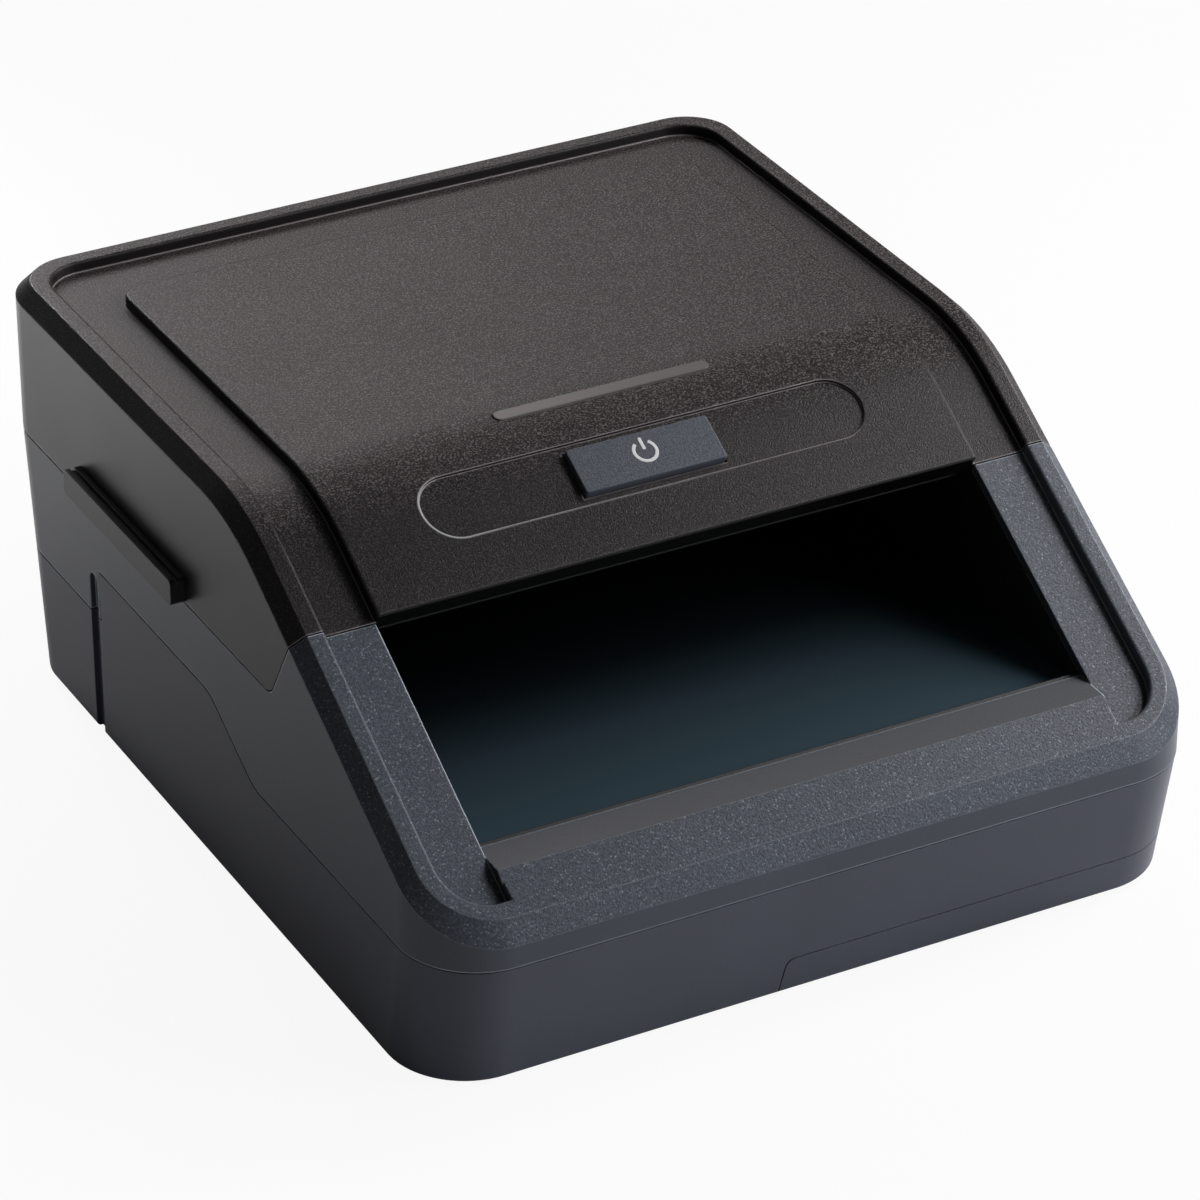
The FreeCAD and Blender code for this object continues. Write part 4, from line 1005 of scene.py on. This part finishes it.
@dataclass
class PowerKey(Assembly):
    """The power button with its printed sign, and the switch under it."""

    proud: float = 0.001
    sign_up: float = 0.0008
    ring_outer: float = 0.0034
    ring_inner: float = 0.0025
    ring_gap: float = math.radians(72)
    ring_steps: int = 56
    stroke_low: float = 0.0004
    stroke_high: float = 0.0040
    stroke_round: float = 0.3
    stroke_segments: int = 4
    ink_thick: float = 0.00004
    ink_sunk: float = 0.25
    dome_keep: float = 0.65
    cap: GrainedPlastic = GrainedPlastic(
        "key_satin", shade(74, 78, 85), shade(170, 176, 184), painted_glint_share=0.06, rough=0.4,
    )
    ink: SatinPlastic = SatinPlastic("sign_print", shade(214, 214, 214), rough=0.5, mottle=0.05)
    dome: SoftRubber = SoftRubber("dome_rubber", shade(60, 60, 62))
    switch: SatinPlastic = SatinPlastic("switch_black", shade(30, 30, 31))

    def local(self) -> Matrix:
        """The key's own frame: X across, Y up the slope and Z out of the cap."""
        return Matrix.Translation(KEY_CENTRE) @ Matrix.Rotation(KEY_TILT, 4, "X")

    def add_ring(self, shape: bmesh.types.BMesh, low: float, high: float) -> None:
        """Add the sign's open ring.

        Args:
            shape: The sign's shape.
            low: The level of the ring's lower side.
            high: The level of its upper side.
        """
        turned = Matrix.Rotation(math.pi / 2 + self.ring_gap / 2, 4, "Z")
        corners = [(self.ring_inner, low), (self.ring_outer, low),
                   (self.ring_outer, high), (self.ring_inner, high)]
        points = [shape.verts.new(turned @ Vector((radius, 0.0, level))) for radius, level in corners]
        edges = [shape.edges.new((points[index - 1], points[index])) for index in range(len(points))]
        bmesh.ops.spin(shape, geom=points + edges, cent=(0, 0, 0), axis=(0, 0, 1),
                       angle=2 * math.pi - self.ring_gap, steps=self.ring_steps, use_merge=False)
        bmesh.ops.holes_fill(shape, edges=shape.edges, sides=len(points))

    def add_stroke(self, shape: bmesh.types.BMesh, low: float, high: float) -> None:
        """Add the sign's upright stroke.

        Args:
            shape: The sign's shape.
            low: The level of the stroke's lower side.
            high: The level of its upper side.
        """
        width = self.ring_outer - self.ring_inner
        size = Matrix.Diagonal((width, self.stroke_high - self.stroke_low, high - low, 1.0))
        middle = Vector((0.0, (self.stroke_low + self.stroke_high) / 2, (low + high) / 2))
        matrix = Matrix.Translation(middle) @ size
        stroke = bmesh.ops.create_cube(shape, size=1.0, matrix=matrix)["verts"]
        uprights = {edge for vertex in stroke for edge in vertex.link_edges
                    if abs(edge.verts[0].co.z - edge.verts[1].co.z) > WELD}
        bmesh.ops.bevel(shape, geom=list(uprights), offset=width * self.stroke_round,
                        segments=self.stroke_segments, profile=0.5, affect="EDGES", material=-1)

    def sign(self) -> bpy.types.Object:
        """Draw the common power sign: an open ring and a stroke.

        Returns:
            The printed sign, on the cap's face.
        """
        shape = bmesh.new()
        low, high = self.proud - self.ink_thick * self.ink_sunk, self.proud + self.ink_thick
        self.add_ring(shape, low, high)
        self.add_stroke(shape, low, high)
        bmesh.ops.recalc_face_normals(shape, faces=shape.faces)
        shape.transform(self.local() @ Matrix.Translation((0.0, self.sign_up, 0.0)))
        return new_piece("power_sign", shape, self.ink.material())

    def build(self) -> None:
        """Make the cap, its sign, the dome that gives and the switch."""
        self.smooth(self.cap.material(), "button_plastic", "power_button")
        self.settle(self.sign(), Body.BUTTON, "diffuser_white")
        dome = self.smooth(self.dome.material(), "dome_rubber", "button_dome")[0]
        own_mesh(dome)
        self.paint(self.switch.material(), "tact_switch")


@dataclass
class StatusLight(Assembly):
    """The slim light bar at the bend of the hood."""

    pipe: SmokedLightPipe = SmokedLightPipe("status_pipe", shade(85, 80, 78))

    def build(self) -> None:
        """Make the bar."""
        self.smooth(self.pipe.material(), "light_pipe", "status_light_bar")


@dataclass
class Chamber(Assembly):
    """The viewing chamber: tub, floor, ceiling and lenses."""

    floor: ChamberFloor = ChamberFloor(
        "floor_smoke_and_shade", shade(50, 67, 76), shade(4, 6, 9), lit_front_y=-0.115, shaded_back_y=-0.02,
    )
    tub: SatinPlastic = SatinPlastic("tub_black", shade(17, 17, 18), rough=0.6)
    ceiling: SatinPlastic = SatinPlastic("ceiling_black", shade(16, 16, 17), rough=0.65)
    spread: MilkyPlastic = MilkyPlastic("diffuser_milk", shade(226, 228, 226), rough=0.5)
    violet: MilkyPlastic = MilkyPlastic("violet_lens", shade(64, 52, 92), rough=0.2, passes=0.7)
    clear: MilkyPlastic = MilkyPlastic("clear_lens", shade(226, 230, 232), rough=0.2, passes=0.8)

    def build(self) -> None:
        """Dress the chamber."""
        self.paint(self.floor.material(), "floor_plate")
        self.paint(self.tub.material(), "chamber_tub")
        self.paint(self.ceiling.material(), "hood_lining")
        self.paint(self.spread.material(), "backlight_diffuser")
        self.paint(self.violet.material(), "uv_lens")
        self.paint(self.clear.material(), "white_lens")


@dataclass
class Electronics(Assembly):
    """Boards, lights, inlet and lead."""

    lead_thick: float = 0.0008
    lead_cuts: int = 24
    long_share: float = 0.99
    bend_low: float = 0.032
    bend_high: float = 0.092
    board: CircuitBoard = CircuitBoard("board_green", shade(22, 62, 44), shade(34, 84, 58))
    lights: MilkyPlastic = MilkyPlastic("led_body", shade(228, 222, 196), rough=0.35)
    black: SatinPlastic = SatinPlastic("component_black", shade(26, 26, 27), rough=0.5)
    lead: FlatLead = FlatLead("lead_grey", shade(120, 122, 124))
    brass: WorkedMetal = WorkedMetal("plated_pin", (0.72, 0.62, 0.42))

    def flat_lead(self) -> bpy.types.Object:
        """Lay the flat lead up behind the tub and forward to the lamp.

        Returns:
            The lead, cut finely along its length.
        """
        low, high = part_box("lamp_lead")
        turn_y, turn_z = high.y - self.lead_thick, high.z - self.lead_thick
        spans = [
            (Vector((low.x, turn_y, low.z)), high),
            (Vector((low.x, low.y, turn_z)), Vector((high.x, turn_y, high.z))),
        ]
        shape = bmesh.new()
        for first, last in spans:
            size = last - first
            matrix = Matrix.Translation((first + last) / 2) @ Matrix.Diagonal((*size, 1.0))
            verts = bmesh.ops.create_cube(shape, size=1.0, matrix=matrix)["verts"]
            longest = max(size) * self.long_share
            runs = {edge for vertex in verts for edge in vertex.link_edges
                    if edge.calc_length() > longest}
            bmesh.ops.subdivide_edges(shape, edges=list(runs), cuts=self.lead_cuts, use_grid_fill=True)
        return new_piece("lamp_lead_strip", shape, self.lead.material())

    def build(self) -> None:
        """Dress the boards and lay the lead."""
        self.paint(self.board.material(), "main_board", "control_board", "status_led_board", "uv_board",
                   "white_board", "backlight_board")
        self.paint(self.lights.material(), "uv_leds", "white_leds", "status_leds", "backlight_leds")
        black = self.black.material()
        self.paint(black, "board_components", "buzzer", "lamp_socket")
        self.smooth(black, "component_black", "power_inlet")
        self.smooth(self.brass.material(), "plated_metal", "inlet_pin")
        lead = self.flat_lead()
        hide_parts("lamp_lead")
        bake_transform(lead)
        self.made.append(lead.name)


@dataclass
class Fixings(Assembly):
    """Screws, hinge pins and the magnetic catch."""

    steel: WorkedMetal = WorkedMetal("screw_steel", (0.5, 0.5, 0.52), rough=0.35)
    plated: WorkedMetal = WorkedMetal("plated_disc", (0.66, 0.66, 0.64), rough=0.22)

    def build(self) -> None:
        """Make the fixings."""
        self.smooth(self.steel.material(), "screw_steel", "base_screws", "tub_screws", "board_screws",
                    "lining_screws", "control_screws", "hatch_screw", "hinge_pins")
        self.smooth(self.plated.material(), "plated_metal", "catch_magnets", "catch_plates")


def hung(name: str, data: bpy.types.ID, place: Place, aim: Place) -> bpy.types.Object:
    """Hang a lamp or a camera, turned to what it is aimed at.

    Args:
        name: The object's name.
        data: The lamp or the camera.
        place: Where it hangs.
        aim: What it is aimed at.

    Returns:
        The object.
    """
    made = bpy.data.objects.new(name, data)
    made.location = place
    made.rotation_mode = "QUATERNION"
    made.rotation_quaternion = (Vector(aim) - Vector(place)).to_track_quat("-Z", "Y")
    bpy.context.scene.collection.objects.link(made)
    return made


@dataclass(frozen=True)
class Lamp:
    """One soft studio lamp."""

    name: str
    place: Place
    aim: Place
    width: float
    height: float
    power: float
    colour: Colour = WHITE
    spread: float = math.pi

    def build(self) -> None:
        """Hang the lamp."""
        data = bpy.data.lights.new(self.name, "AREA")
        data.shape = "RECTANGLE"
        data.size, data.size_y = self.width, self.height
        data.energy = self.power
        data.spread = self.spread
        data.color = self.colour
        hung(self.name, data, self.place, self.aim)


@dataclass
class Studio:
    """Pale floor, soft light and the camera at the photograph's angle."""

    camera_place: Place = (-0.5646, -1.0634, 0.7445)
    camera_aim: Place = (0.01457, 0.0176, 0.0325)
    lens: float = 165.516
    sensor: float = 36.0
    clip: Span = (0.01, 50.0)
    floor_side: float = 8.0
    floor_grey: Colour = (0.8, 0.8, 0.8)
    floor_rough: float = 0.9
    floor_share: float = 0.92
    mirrored_share: float = 0.1
    ambient: float = 0.025
    lamps: tuple[Lamp, ...] = (
        Lamp("back_key", (0.3, 1.1, 0.84), (-0.02, 0.05, 0.1), width=0.6, height=0.4, power=3.0,
             colour=(1.0, 0.94, 0.95)),
        Lamp("right_strip", (0.62, -0.08, 0.5), (0.05, -0.05, 0.06), width=0.3, height=0.5, power=4.6,
             colour=(1.0, 0.97, 0.965)),
        Lamp("left_back", (-0.06, 0.8, 0.4), (-0.22, 0.34, 0.0), width=0.15, height=0.15, power=0.8,
             spread=math.radians(50)),
        Lamp("front_fill", (0.95, -0.9, 0.72), (0.03, -0.12, 0.03), width=0.7, height=0.5, power=13.6,
             colour=(0.93, 0.96, 1.0)),
    )

    def seen_directly(self, tree: NodeTree) -> Value:
        """Tell camera, glossy and transmitted rays from the rays that light the object.

        Args:
            tree: The nodes of the material or the world that asks.

        Returns:
            1 on a camera ray, a small share on a glossy or transmitted one, and otherwise 0.
        """
        rays = tree.node("ShaderNodeLightPath", {}, {})
        mirrored = Value(tree, rays.outputs["Is Glossy Ray"])
        mirrored = mirrored.joined("MAXIMUM", Value(tree, rays.outputs["Is Transmission Ray"]))
        camera = Value(tree, rays.outputs["Is Camera Ray"])
        return camera.joined("MAXIMUM", mirrored * self.mirrored_share)

    def lay_floor(self) -> None:
        """Lay the pale floor."""
        shape = bmesh.new()
        bmesh.ops.create_grid(shape, x_segments=1, y_segments=1, size=self.floor_side / 2)
        shader = Shader("pale_floor")
        shader.dress(base_color=self.floor_grey, roughness=self.floor_rough, specular_ior_level=0.0)
        glow = shader.node("ShaderNodeEmission", {}, {"Color": WHITE, "Strength": 1.0})
        share = self.seen_directly(shader) * self.floor_share
        sockets = {0: share, 1: shader.surface.outputs[0], 2: glow.outputs[0]}
        mixed = shader.node("ShaderNodeMixShader", {}, sockets)
        shader.feed(shader.output.inputs[0], mixed.outputs[0])
        new_piece("studio_floor", shape, shader.material)

    def light_world(self) -> None:
        """Fill the room with weak even light behind a white background."""
        world = bpy.data.worlds.new("studio_world")
        world.use_nodes = True
        bpy.context.scene.world = world
        room = NodeTree(world.node_tree)
        back = world.node_tree.nodes["Background"]
        room.feed(back.inputs["Color"], WHITE)
        strength = self.seen_directly(room) * (1 - self.ambient) + self.ambient
        room.feed(back.inputs["Strength"], strength)

    def hang_camera(self) -> None:
        """Set the camera where the photograph was taken from."""
        data = bpy.data.cameras.new("photo_camera")
        data.lens = self.lens
        data.sensor_width = self.sensor
        data.clip_start, data.clip_end = self.clip
        bpy.context.scene.camera = hung("photo_camera", data, self.camera_place, self.camera_aim)

    def build(self) -> None:
        """Set up the studio."""
        bpy.context.scene.view_settings.view_transform = "Standard"
        self.hang_camera()
        self.lay_floor()
        self.light_world()
        for lamp in self.lamps:
            lamp.build()


def main() -> None:
    """Build the studio and the object, and report each piece."""
    logging.basicConfig(level=logging.INFO, format="%(name)s: %(message)s")
    Studio().build()
    for assembly in (Shells(), PowerKey(), StatusLight(), Chamber(), Electronics(), Fixings()):
        assembly.build()
        for name in assembly.made:
            LOG.info("%s: %s", type(assembly).__name__, name)


if __name__ == "__main__":
    main()
